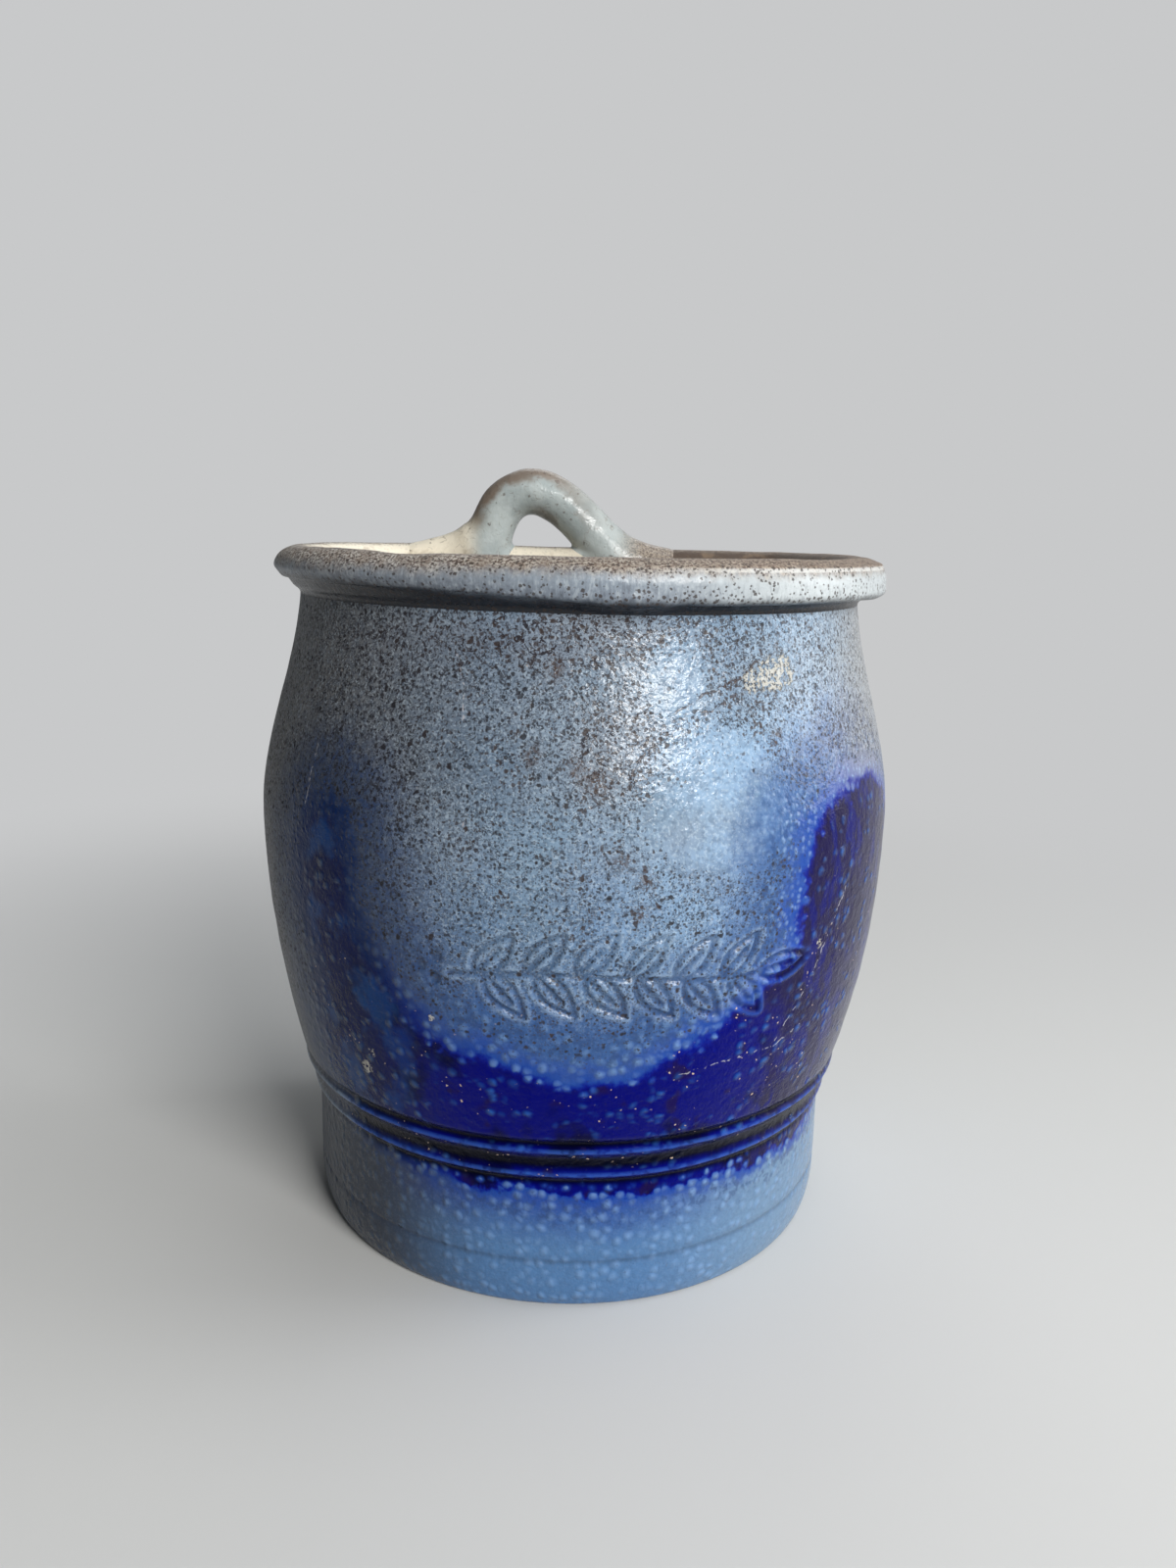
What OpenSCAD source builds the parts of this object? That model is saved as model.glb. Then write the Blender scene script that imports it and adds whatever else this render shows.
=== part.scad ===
// Wall-hanging salt pot in salt-glazed stoneware: a barrel-shaped body thrown round and given a
// flat back, a rolled rim, and a loop of rolled clay luted onto the back of the rim.
// Millimetres, +Z up. The origin is on the thrown axis, in the foot's face. The front faces -Y.

/* [Body] */
// Height of the rim's crest above the foot
body_h = 168; // [160:1:190]
// Radius of the foot where it meets the table
foot_r = 64.5; // [62:0.5:66.5]
// Height at which the rounded foot reaches the straight band above it
foot_rise = 10; // [8.5:0.5:11.5]
// Radius of the straight band above the foot
waist_r = 67.2; // [66.8:0.1:69]
// Height at which the straight band ends and the ridged band begins
band_z = 31; // [24:0.5:34]
// Radius of the wall just above the ridged band
swell_r = 71.2; // [70:0.1:73]
// Outward slope of the wall where it leaves the ridged band
swell_slope = 0.27; // [0.1:0.01:0.35]
// Widest radius of the belly
belly_r = 79.2; // [77:0.1:83]
// Height of the widest part of the belly
belly_z = 105; // [92:1:115]
// Radius of the neck under the rim
neck_r = 69; // [68:0.1:70.5]
// Slope of the wall where it reaches the neck
neck_slope = -0.1; // [-0.2:0.01:0]

/* [Clay] */
// Thickness of the wall and of the flat back
wall_t = 6.3; // [5:0.1:7.5]
// Thickness of the floor
floor_t = 8; // [6:0.5:8.5]
// Radius of the cove between the floor and the wall, inside
cove_r = 6; // [3:0.5:8]

/* [Back] */
// Distance from the thrown axis to the flat back
back_y = 48; // [44:0.5:52]
// Radius of the upright corners between the barrel and the flat back
corner_r = 18; // [15:0.5:20]

/* [Ridged band] */
// Height of the ridges above the wall
ridge_h = 0.7; // [0.3:0.1:1.2]
// Width of each ridge
ridge_w = 1.6; // [1:0.1:2.2]
// Depth of the grooves beside the ridges
groove_d = 0.6; // [0.2:0.1:1]
// Height from the start of the band to the lower ridge
ridge_rise = 3.4; // [2.8:0.1:4]
// Distance between the two ridges
ridge_gap = 6.6; // [5:0.1:8]
// Height of the band
band_h = 13.5; // [12.5:0.1:16]
// Height of the fine turned line above the foot
line_z = 12; // [12:0.5:20]
// Width of the fine turned line
line_w = 1.2; // [0.6:0.1:2]
// Depth of the fine turned line
line_d = 0.35; // [0.1:0.05:0.6]

/* [Rim] */
// Outer radius of the rolled rim
rim_r = 75.2; // [73:0.1:77]
// Height of the rim piece, from the neck to the crest
rim_h = 11.2; // [10.6:0.1:14]
// Height of the roll, from its lower edge to the crest
roll_h = 9; // [7.5:0.1:10]
// Width of the roll, from its outer edge to its inner edge
roll_w = 11.2; // [10:0.1:12]
// Distance from the roll's outer edge in to its crest
crest_in = 5.7; // [4:0.1:7]
// Height over which the outer edge rounds up to the crest
outer_round = 5.2; // [3:0.1:6]
// Height over which the inner edge rounds up to the crest
inner_round = 4.6; // [2:0.1:6]
// Radius of the roll's lower outer edge
under_round = 1.8; // [0.8:0.1:2]

/* [Hanging loop] */
// Radius of the clay strand
strand_r = 6.35; // [5:0.05:6.5]
// Height of the middle of the strand above the rim's crest, at the top of the loop
loop_rise = 15; // [13.5:0.1:20]
// Place of the top of the loop, across the pot
apex_x = -14.3; // [-18:0.1:-8]
// Place of the left leg on the crest, across the pot
left_foot_x = -26.6; // [-34:0.1:-26]
// Place of the right leg on the crest, across the pot
right_foot_x = 6.6; // [4:0.1:14]
// Angle from upright at which the left leg leans
left_lean = 6; // [0:0.5:12]
// Angle from upright at which the right leg leans
right_lean = 43; // [30:0.5:48]
// Depth to which the ends of the legs reach down over the rim's crest
seat_d = 4; // [2.5:0.1:5]
// How far the strand stands clear of the plane of the flat back
strand_clear = 0.3; // [0.2:0.1:1]

/* [Loop roots] */
// Height of the left root above the crest
left_root_h = 7.5; // [4:0.1:10]
// Run of the left root along the rim, from the strand
left_root_run = 12; // [6:0.1:16]
// Height of the right root above the crest
right_root_h = 3.6; // [2:0.1:6]
// Run of the right root along the rim, from the strand
right_root_run = 8; // [4:0.1:12]
// Width of both roots, front to back
root_w = 9.6; // [7:0.1:10.5]

/* [Hidden] */
$fn = 96;

// Steps that each curve is drawn with
swell_steps = 9;
cove_steps = 5;
foot_steps = 4;
edge_steps = 6;
rim_steps = 60;
corner_steps = 6;
flank_steps = 3;
loop_steps = 8;
strand_sides = 28;

// How far each bend of the loop pulls on its ends, as shares of the loop's rise
left_pull_share = 0.55;
right_pull_share = 0.63;
apex_pull_share = 0.5;

// Overrun of the cutting solids, past everything that they cut
overrun = belly_r;

glaze_blue = [0.36, 0.46, 0.60];
glaze_pale = [0.50, 0.60, 0.68];
glaze_grey = [0.55, 0.58, 0.57];
clay_buff = [0.72, 0.67, 0.58];

neck_z = body_h - rim_h;
swell_z = band_z + band_h;
corner_y = back_y - corner_r;
// The back is luted on along the plane in which its corners have their centres
seam_y = corner_y;
loop_y = back_y - strand_r - strand_clear;
seat_z = body_h - seat_d;
apex = [apex_x, body_h + loop_rise];
left_foot = [left_foot_x, body_h];
right_foot = [right_foot_x, body_h];

// A smooth curve from v0 to v1 as t goes from 0 to 1, with slopes s0 and s1 over the span
function hermite(t, v0, v1, s0, s1, span) =
    v0 * (2 * t ^ 3 - 3 * t ^ 2 + 1) + s0 * span * (t ^ 3 - 2 * t ^ 2 + t)
    + v1 * (3 * t ^ 2 - 2 * t ^ 3) + s1 * span * (t ^ 3 - t ^ 2);

// Evenly spaced heights from a to b, both included
function rising(a, b, steps) = [for (i = [0 : steps]) a + (b - a) * i / steps];

// Points of an elliptic arc about [cx, cy]
function arc(cx, cy, rx, ry, from, to, steps) =
    [for (i = [0 : steps]) let (a = from + (to - from) * i / steps) [cx + rx * cos(a), cy + ry * sin(a)]];

// Outer radius of the thrown wall at height z, without its ridges and grooves
function body_r(z) =
    z < foot_rise ? foot_r + (waist_r - foot_r) * sqrt(1 - (1 - z / foot_rise) ^ 2)
    : z < band_z ? waist_r
    : z < swell_z ? waist_r + (swell_r - waist_r) * (z - band_z) / band_h
    : z < belly_z ? hermite((z - swell_z) / (belly_z - swell_z),
                            swell_r, belly_r, swell_slope, 0, belly_z - swell_z)
    : hermite((z - belly_z) / (neck_z - belly_z), belly_r, neck_r, 0, neck_slope, neck_z - belly_z);

// Thickness of the wall at height z, with the cove above the floor
function wall_at(z) =
    z < floor_t + cove_r ? wall_t + cove_r - sqrt(max(0, cove_r ^ 2 - (floor_t + cove_r - z) ^ 2)) : wall_t;

// Radius of the upright corner at height z: it draws in under the rim as the neck does
function corner_at(z) =
    z > belly_z && body_r(z) < rim_r ? body_r(z) - rim_r + corner_r : corner_r;

cove_heights = [for (i = [0 : cove_steps]) floor_t + cove_r * (1 - cos(90 * i / cove_steps))];
belly_heights = concat(rising(swell_z, belly_z, swell_steps),
                       [for (i = [1 : swell_steps]) belly_z + (neck_z - belly_z) * i / swell_steps]);

// The ridged band as [height, offset from the wall]: a groove, a ridge, a wide groove, a ridge, a groove
lower_ridge_z = band_z + ridge_rise;
upper_ridge_z = lower_ridge_z + ridge_gap;
function ridge(z) = [[z - ridge_w / 2, 0], [z, ridge_h], [z + ridge_w / 2, 0]];
function groove(z0, z1) = [[z0 + (z1 - z0) / 3, -groove_d], [z1 - (z1 - z0) / 3, -groove_d]];
ridged_band = concat(
    groove(band_z, lower_ridge_z - ridge_w / 2), ridge(lower_ridge_z),
    groove(lower_ridge_z + ridge_w / 2, upper_ridge_z - ridge_w / 2), ridge(upper_ridge_z),
    groove(upper_ridge_z + ridge_w / 2, swell_z));

outer_face = concat(
    [for (z = rising(floor_t, foot_rise, foot_steps)) if (z < foot_rise) [body_r(z), z]],
    [[waist_r, foot_rise], [waist_r, line_z - line_w / 2], [waist_r - line_d, line_z],
     [waist_r, line_z + line_w / 2], [waist_r, band_z]],
    [for (p = ridged_band) [body_r(p[0]) + p[1], p[0]]],
    [for (z = belly_heights) [body_r(z), z]]);
inner_face = [for (z = concat(cove_heights, [band_z], belly_heights)) [body_r(z) - wall_at(z), z]];

// Section of the rolled rim, as [radius, height] with the thrown axis at 0
rim_section = concat(
    [[neck_r, neck_z]],
    arc(rim_r - under_round, body_h - roll_h + under_round, under_round, under_round, -90, 0, edge_steps / 2),
    arc(rim_r - crest_in, body_h - outer_round, crest_in, outer_round, 0, 90, edge_steps),
    arc(rim_r - crest_in, body_h - inner_round, roll_w - crest_in, inner_round, 90, 180, edge_steps),
    [[neck_r - wall_t, neck_z]]);

// Right half of the outline behind the seam, for a barrel of radius r with its wall t thick:
// round the barrel, round the corner and onto the flat back
function back_half(r, corner, t) =
    let (away = r - corner, reach = r - t,
         turn = asin(corner_y / away), start = asin(seam_y / reach))
    concat(arc(0, 0, reach, reach, start, turn, flank_steps),
           [for (i = [1 : corner_steps]) let (a = turn + (90 - turn) * i / corner_steps)
               [away * cos(turn) + (corner - t) * cos(a), corner_y + (corner - t) * sin(a)]]);
function mirrored(points) = [for (i = [len(points) - 1 : -1 : 0]) [-points[i][0], points[i][1]]];
function back_outline(z, t) =
    let (half = back_half(body_r(z), corner_at(z), t)) concat(half, mirrored(half));

// One closed ring of the flat back at height z: its outer face, then its inner face backwards
function back_ring(z) =
    let (outside = back_outline(z, 0), inside = back_outline(z, wall_at(z)))
    [for (p = concat(outside, [for (i = [len(inside) - 1 : -1 : 0]) inside[i]])) [p[0], p[1], z]];

// Faces between each ring of n points and the next, over the first count rings of a stack of total rings
function band_faces(n, count, total) =
    [for (k = [0 : count - 1]) for (i = [0 : n - 1])
        let (j = (i + 1) % n, low = k * n, high = (k + 1) % total * n)
        each [[low + i, high + i, low + j], [low + j, high + i, high + j]]];

// A solid skinned over equal rings of points, from the lowest to the highest, with a flat cap at each end
module skin(rings) {
    n = len(rings[0]);
    top = n * (len(rings) - 1);
    caps = [for (i = [0 : n / 2 - 2])
        let (o = i, q = i + 1, s = n - 1 - i, u = n - 2 - i)
        each [[o, q, s], [q, u, s], [top + o, top + s, top + q], [top + q, top + s, top + u]]];
    polyhedron(points = [for (r = rings) each r],
               faces = concat(band_faces(n, len(rings) - 1, len(rings)), caps), convexity = 6);
}

// A solid ring skinned over equal rings of points, the last of them joined to the first
module closed_skin(rings) {
    polyhedron(points = [for (r = rings) each r],
               faces = band_faces(len(rings[0]), len(rings), len(rings)), convexity = 6);
}

// Everything in front of the seam
module in_front_of_seam() {
    translate([-overrun, -overrun, 0])
        cube([2 * overrun, overrun + seam_y, body_h]);
}

module barrel_ring() {
    rotate_extrude()
        polygon(concat(outer_face, [for (i = [len(inner_face) - 1 : -1 : 0]) inner_face[i]]));
}

// Outline of the rim at radius r of its section: round the front, round the corners and along the back
function rim_outline(r) =
    let (away = rim_r - corner_r, turn = asin(corner_y / away), corner_x = away * cos(turn))
    concat(arc(0, 0, r, r, 180 - turn, 360 + turn, rim_steps),
           [for (i = [1 : corner_steps]) let (a = turn + (90 - turn) * i / corner_steps)
               [corner_x + (r - away) * cos(a), corner_y + (r - away) * sin(a)]],
           [for (i = [0 : corner_steps - 1]) let (a = 90 + (90 - turn) * i / corner_steps)
               [-corner_x + (r - away) * cos(a), corner_y + (r - away) * sin(a)]]);

// The rim's roll, swept round the barrel, the two corners and the flat back
module rim_ring() {
    closed_skin([for (p = rim_section) [for (q = rim_outline(p[0])) [q[0], q[1], p[1]]]]);
}

// Place and direction on a cubic bend from a to d that is pulled towards b and c
function bend(t, a, b, c, d) =
    a * (1 - t) ^ 3 + 3 * b * t * (1 - t) ^ 2 + 3 * c * t ^ 2 * (1 - t) + d * t ^ 3;
function bend_way(t, a, b, c, d) =
    (b - a) * (1 - t) ^ 2 + 2 * (c - b) * t * (1 - t) + (d - c) * t ^ 2;

// The middle line of the loop as [place, direction], from the left foot over the top to the right foot
left_pull = left_foot + left_pull_share * loop_rise * [sin(left_lean), cos(left_lean)];
right_pull = right_foot + right_pull_share * loop_rise * [-sin(right_lean), cos(right_lean)];
apex_pull = [apex_pull_share * loop_rise, 0];
loop_line = concat(
    [for (i = [0 : loop_steps]) let (t = i / loop_steps)
        [bend(t, left_foot, left_pull, apex - apex_pull, apex),
         bend_way(t, left_foot, left_pull, apex - apex_pull, apex)]],
    [for (i = [1 : loop_steps]) let (t = i / loop_steps)
        [bend(t, apex, apex + apex_pull, right_pull, right_foot),
         bend_way(t, apex, apex + apex_pull, right_pull, right_foot)]]);

// One ring of the strand, square to the middle line
function strand_ring(place, way) =
    let (across = [way[1], -way[0]] / norm(way))
    [for (i = [0 : strand_sides - 1]) let (a = 360 * i / strand_sides)
        [place[0] + strand_r * cos(a) * across[0], loop_y + strand_r * sin(a),
         place[1] + strand_r * cos(a) * across[1]]];

// A ring carried straight on along the strand until it lies level at the strand's end
function seat_ring(place, way) =
    [for (p = strand_ring(place, way)) [p[0] + (seat_z - p[2]) * way[0] / way[1], p[1], seat_z]];

// The clay strand, its two ends cut level below the rim's crest
module loop_strand() {
    first = loop_line[0];
    last = loop_line[len(loop_line) - 1];
    skin(concat([seat_ring(first[0], first[1])],
                [for (s = loop_line) strand_ring(s[0], s[1])],
                [seat_ring(last[0], last[1])]));
}

// Clay smeared outward from a leg at x onto the rim, with a hollow curve on top
module root_form(x, reach, run, height, side) {
    intersection() {
        translate([x, loop_y, seat_z])
            rotate_extrude()
                polygon(concat([[0, 0], [reach + run, 0]],
                               arc(reach + run, seat_d + height, run, height, 270, 180, edge_steps),
                               [[0, seat_d + height]]));
        translate([side > 0 ? x : x - overrun, loop_y - root_w / 2, 0])
            cube([overrun, root_w, body_h + height]);
    }
}

module floor_slab() {
    back = back_outline(floor_t, 0);
    color(clay_buff)
        intersection() {
            rotate_extrude()
                polygon(concat([[0, 0]],
                               [for (z = rising(0, floor_t, foot_steps)) [body_r(z), z]],
                               [[0, floor_t]]));
            linear_extrude(floor_t)
                polygon(concat([[overrun, -overrun], [overrun, seam_y]], back,
                               [[-overrun, seam_y], [-overrun, -overrun]]));
        }
}

module barrel_wall() {
    color(glaze_blue)
        intersection() {
            barrel_ring();
            in_front_of_seam();
        }
}

module flat_back() {
    color(glaze_grey)
        skin([for (z = concat(cove_heights, [band_z], belly_heights)) back_ring(z)]);
}

module rolled_rim() {
    color(glaze_pale)
        rim_ring();
}

// The ends of the strand are pressed over the rim, and fit its crest
module hanging_loop() {
    color(glaze_grey)
        difference() {
            loop_strand();
            rim_ring();
        }
}

module loop_root_left() {
    color(clay_buff)
        difference() {
            root_form(left_foot_x, strand_r / cos(left_lean), left_root_run, left_root_h, -1);
            rim_ring();
            loop_strand();
        }
}

module loop_root_right() {
    color(clay_buff)
        difference() {
            root_form(right_foot_x, strand_r / cos(right_lean), right_root_run, right_root_h, 1);
            rim_ring();
            loop_strand();
        }
}

floor_slab();
barrel_wall();
flat_back();
rolled_rim();
hanging_loop();
loop_root_left();
loop_root_right();
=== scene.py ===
"""A wall-hanging salt pot in salt-glazed stoneware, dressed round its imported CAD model.

Shapes are worked out in millimetres and become metres in the meshes. The pot stands on its foot at
z = 0, its thrown axis is x = y = 0, and its front faces -Y, as in the CAD source.
"""

import math

import bmesh
import bpy
import numpy as np
import openvdb
from mathutils import Matrix, Vector


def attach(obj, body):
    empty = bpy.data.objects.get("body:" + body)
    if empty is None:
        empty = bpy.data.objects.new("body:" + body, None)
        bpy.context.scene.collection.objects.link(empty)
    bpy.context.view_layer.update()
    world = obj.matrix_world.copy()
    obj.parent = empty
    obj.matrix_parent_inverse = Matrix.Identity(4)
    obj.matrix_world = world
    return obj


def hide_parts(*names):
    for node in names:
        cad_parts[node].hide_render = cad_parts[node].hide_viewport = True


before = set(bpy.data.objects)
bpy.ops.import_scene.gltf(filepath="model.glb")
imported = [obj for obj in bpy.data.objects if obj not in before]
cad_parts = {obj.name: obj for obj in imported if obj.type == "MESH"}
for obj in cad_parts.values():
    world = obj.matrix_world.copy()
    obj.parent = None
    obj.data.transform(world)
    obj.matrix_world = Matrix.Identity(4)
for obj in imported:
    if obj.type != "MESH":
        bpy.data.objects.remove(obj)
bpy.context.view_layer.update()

MM = 0.001

# Body, as in the CAD source
BODY_H = 168.0
FOOT_R, FOOT_RISE = 64.5, 10.0
WAIST_R, BAND_Z, BAND_H = 67.2, 31.0, 13.5
SWELL_R, SWELL_SLOPE = 71.2, 0.27
BELLY_R, BELLY_Z = 79.2, 105.0
NECK_R, NECK_SLOPE = 69.0, -0.1
WALL_T, FLOOR_T, COVE_R = 6.3, 8.0, 6.0
BACK_Y, CORNER_R = 48.0, 18.0
RIM_R, RIM_H, ROLL_H, ROLL_W = 75.2, 11.2, 9.0, 11.2
CREST_IN, OUTER_ROUND, INNER_ROUND, UNDER_ROUND = 5.7, 5.2, 4.6, 1.8
NECK_Z = BODY_H - RIM_H
SWELL_Z = BAND_Z + BAND_H
CORNER_Y = BACK_Y - CORNER_R

# Ridged band and turned line
LOWER_RIDGE_Z, UPPER_RIDGE_Z = 34.4, 41.0
RIDGE_H, RIDGE_W, GROOVE_D = 0.7, 1.6, 0.6
LINE_Z, LINE_W, LINE_D = 12.0, 1.2, 0.35

# Hanging loop
STRAND_R, LOOP_RISE, LOOP_Y = 6.35, 15.0, 41.35
APEX_X, LEFT_FOOT_X, RIGHT_FOOT_X = -14.3, -26.6, 6.6
LEFT_LEAN, RIGHT_LEAN = math.radians(6), math.radians(43)

# Arc length on the wall is measured on this radius
GIRTH_R = 76.0


# ---- Noise and small shape functions ----

_draw = np.random.default_rng(11)
SHUFFLE = _draw.permutation(256)
SLOPES = _draw.normal(size=(256, 3))
SLOPES /= np.linalg.norm(SLOPES, axis=1)[:, None]


def noise(points, size, seed=0):
    """Smooth noise of about -1 to 1 at points (..., 3), with features of the given size."""
    place = points / size + 17.3 * seed
    cell = np.floor(place).astype(int)
    inside = place - cell
    ease = inside ** 3 * (inside * (inside * 6 - 15) + 10)
    total = np.zeros(points.shape[:-1])
    for corner in np.ndindex(2, 2, 2):
        c = (cell + corner) & 255
        pick = SHUFFLE[(SHUFFLE[(SHUFFLE[c[..., 0]] + c[..., 1]) & 255] + c[..., 2]) & 255]
        weight = np.prod(np.where(corner, ease, 1 - ease), axis=-1)
        total += weight * ((inside - corner) * SLOPES[pick]).sum(-1)
    return 1.6 * total


def smooth(value, low, high):
    """0 below low and 1 above high, with an eased step between."""
    t = np.clip((value - low) / (high - low), 0, 1)
    return t * t * (3 - 2 * t)


def hill(value, centre, spread):
    return np.exp(-((value - centre) / spread) ** 2)


def mound(arc, z, at, height, half_w, half_h):
    return hill(arc, at, half_w) * hill(z, height, half_h)


def hermite(t, v0, v1, s0, s1, span):
    """A cubic from v0 to v1 over a span, with the slopes s0 and s1 at its ends."""
    return (v0 * (2 * t ** 3 - 3 * t ** 2 + 1) + s0 * span * (t ** 3 - 2 * t ** 2 + t)
            + v1 * (3 * t ** 2 - 2 * t ** 3) + s1 * span * (t ** 3 - t ** 2))


def body_r(z):
    """Outer radius of the thrown wall at height z, without its ridges and grooves."""
    z = np.asarray(z, float)
    foot = FOOT_R + (WAIST_R - FOOT_R) * np.sqrt(np.clip(1 - (1 - z / FOOT_RISE) ** 2, 0, 1))
    band = WAIST_R + (SWELL_R - WAIST_R) * (z - BAND_Z) / BAND_H
    low, high = BELLY_Z - SWELL_Z, NECK_Z - BELLY_Z
    swell = hermite((z - SWELL_Z) / low, SWELL_R, BELLY_R, SWELL_SLOPE, 0, low)
    shoulder = hermite((z - BELLY_Z) / high, BELLY_R, NECK_R, 0, NECK_SLOPE, high)
    return np.select([z < FOOT_RISE, z < BAND_Z, z < SWELL_Z, z < BELLY_Z],
                     [foot, WAIST_R, band, swell], shoulder)


def wall_at(z):
    """Thickness of the wall at height z, with the cove above the floor."""
    drop = np.clip(FLOOR_T + COVE_R - np.asarray(z, float), 0, COVE_R)
    return WALL_T + COVE_R - np.sqrt(COVE_R ** 2 - drop ** 2)


def corner_at(z):
    """Radius of the upright corners at height z. Near the neck they turn about the same axes as the rim."""
    r = body_r(z)
    return np.where((np.asarray(z) > BELLY_Z) & (r < RIM_R), r - RIM_R + CORNER_R, CORNER_R)


def outline(u, r, corner, t):
    """Place and outward direction on the pot's outline, t inside the outer face, where the barrel has the
    radius r and its two upright corners the radius corner. u runs from -1 to 1 round the barrel, to 2 where
    its corner begins, to 3 round the corner and to 4 at the middle of the flat back, and likewise on the
    left with a minus sign."""
    side, v = np.sign(u), np.abs(u)
    away, reach = r - corner, r - t
    turn = np.arcsin(CORNER_Y / away)
    start = np.arcsin(np.minimum(CORNER_Y / reach, np.sin(turn)))
    angle = np.select([v <= 1, v <= 2, v <= 3],
                      [v * (np.pi / 2 + start) - np.pi / 2, start + (turn - start) * (v - 1),
                       turn + (np.pi / 2 - turn) * (v - 2)], np.pi / 2)
    on_corner = v > 2
    radius = np.where(on_corner, corner - t, reach)
    x = np.where(on_corner, away * np.cos(turn), 0) + radius * np.cos(angle)
    x = np.where(v > 3, (4 - v) * away * np.cos(turn), x)
    y = np.where(on_corner, CORNER_Y, 0) + radius * np.sin(angle)
    return np.stack([side * x, y], -1), np.stack([side * np.cos(angle), np.sin(angle)], -1)


def lifted(flat, z):
    """Points (..., 3) from flat ones (..., 2) and their heights."""
    return np.concatenate([flat, z[..., None]], -1)


def stations(start, *spans):
    """Numbers from start through each (end, step) in turn."""
    values = [start]
    for end, step in spans:
        count = max(1, round(abs(end - values[-1]) / step))
        values += list(np.linspace(values[-1], end, count + 1)[1:])
    return np.array(values)


def arc_of(points):
    """The arc on the girth from the front to each point, positive on the right."""
    return GIRTH_R * np.arctan2(points[..., 0], -points[..., 1])


def line_distance(points, line):
    """Distance of 2-D points from a line drawn through others."""
    nearest = np.inf
    for a, b in zip(line[:-1], line[1:]):
        along = np.clip(((points - a) @ (b - a)) / max((b - a) @ (b - a), 1e-9), 0, 1)
        nearest = np.minimum(nearest, np.linalg.norm(points - a - along[:, None] * (b - a), axis=1))
    return nearest


def inside_distance(points, polygon):
    """How far 2-D points lie inside a closed polygon, negative outside it."""
    inside = np.zeros(len(points), bool)
    for a, b in zip(polygon, np.roll(polygon, -1, axis=0)):
        if a[1] != b[1]:
            edge_x = a[0] + (points[:, 1] - a[1]) * (b[0] - a[0]) / (b[1] - a[1])
            inside ^= ((a[1] > points[:, 1]) != (b[1] > points[:, 1])) & (points[:, 0] < edge_x)
    away = line_distance(points, np.concatenate([polygon, polygon[:1]]))
    return np.where(inside, away, -away)


# ---- Relief of the thrown wall ----

# Throwing rings are noise that is drawn out round the pot
RING_STRETCH = (0.12, 0.12, 1.0)

# The ridged band's section, as (height, offset), softened by the glaze
BAND_SECTION = [
    (BAND_Z, 0), (31.9, -GROOVE_D), (32.7, -GROOVE_D),
    (LOWER_RIDGE_Z - RIDGE_W / 2, 0), (LOWER_RIDGE_Z, RIDGE_H), (LOWER_RIDGE_Z + RIDGE_W / 2, 0),
    (36.6, -GROOVE_D), (38.8, -GROOVE_D),
    (UPPER_RIDGE_Z - RIDGE_W / 2, 0), (UPPER_RIDGE_Z, RIDGE_H), (UPPER_RIDGE_Z + RIDGE_W / 2, 0),
    (42.6, -GROOVE_D), (43.5, -GROOVE_D), (SWELL_Z, 0)]
SECTION_STEP, SECTION_SOFTNESS = 0.05, 0.28
SECTION_Z = np.arange(0, 60, SECTION_STEP)
_kernel = hill(np.arange(-1.5, 1.51, SECTION_STEP), 0, SECTION_SOFTNESS * math.sqrt(2))
_section = np.interp(SECTION_Z, *zip(*BAND_SECTION))
_section -= LINE_D * hill(SECTION_Z, LINE_Z, LINE_W / 2.2)
SECTION_OFFSET = np.convolve(_section, _kernel / _kernel.sum(), "same")

# Shrunken seams beside the flat back: depth, half width, and how long a unit of u is on their two sides
SEAM_D, SEAM_W, SEAM_UNITS = 0.3, 1.3, (150, 14)

# Clay smeared across the groove under the rim: (arc from the front, height, half width, half height)
NECK_SMEAR, NECK_SMEAR_H = (12.0, 157.8, 8.5, 1.7), 1.3


def uneven(solid):
    """What the hand left uneven in the wall, on the barrel and at the foot of the rim."""
    return 0.30 * noise(solid, 46, 1) + 0.05 * noise(solid, 7, 3)


def neck_smear(arc, z):
    return NECK_SMEAR_H * mound(arc, z, *NECK_SMEAR)


def leaf(root, heading, length, width):
    """The closed outline of a leaf and its midrib, as 2-D polylines."""
    t = np.linspace(0, 1, 10)
    half = width / 2 * np.sin(np.pi * t ** 0.8) ** 0.9
    along = np.array([math.cos(heading), math.sin(heading)])
    across = np.array([-along[1], along[0]])
    spine = root + length * t[:, None] * along
    upper, lower = spine + half[:, None] * across, spine - half[:, None] * across
    return [upper, lower, spine[[0, 6]]]


# The impressed sprig: its stem runs along the front, and its leaves stand in pairs
SPRIG_Z, SPRIG_FROM, SPRIG_TO = 83.5, -24.0, 41.0
LEAF_STEP, LEAF_L, LEAF_W, LEAF_ANGLE = 10.2, 12.0, 5.2, math.radians(48)
STROKE_W, STROKE_D, LIP_H = 0.55, 0.6, 0.28
BERRY_R, BERRY_D = 1.5, 0.9
BERRIES = [(-27.0, 86.5), (-27.6, 81.8), (-30.8, 84.4)]


def stem_z(arc):
    return SPRIG_Z + 1.3 * np.sin((arc - SPRIG_FROM) / 13.0)


def sprig_lines():
    stem_arc = np.linspace(SPRIG_FROM, SPRIG_TO, 26)
    lines = [np.stack([stem_arc, stem_z(stem_arc)], 1)]
    for arc in np.arange(SPRIG_FROM + 5, SPRIG_TO - 2, LEAF_STEP):
        for side, lag in ((1, 0.0), (-1, 2.2)):
            root = np.array([arc + lag, stem_z(arc + lag)])
            lines += leaf(root, side * LEAF_ANGLE, LEAF_L, LEAF_W)
    tip = np.array([SPRIG_TO, stem_z(SPRIG_TO)])
    return lines + leaf(tip, 0.1, 1.15 * LEAF_L, LEAF_W)


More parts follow.
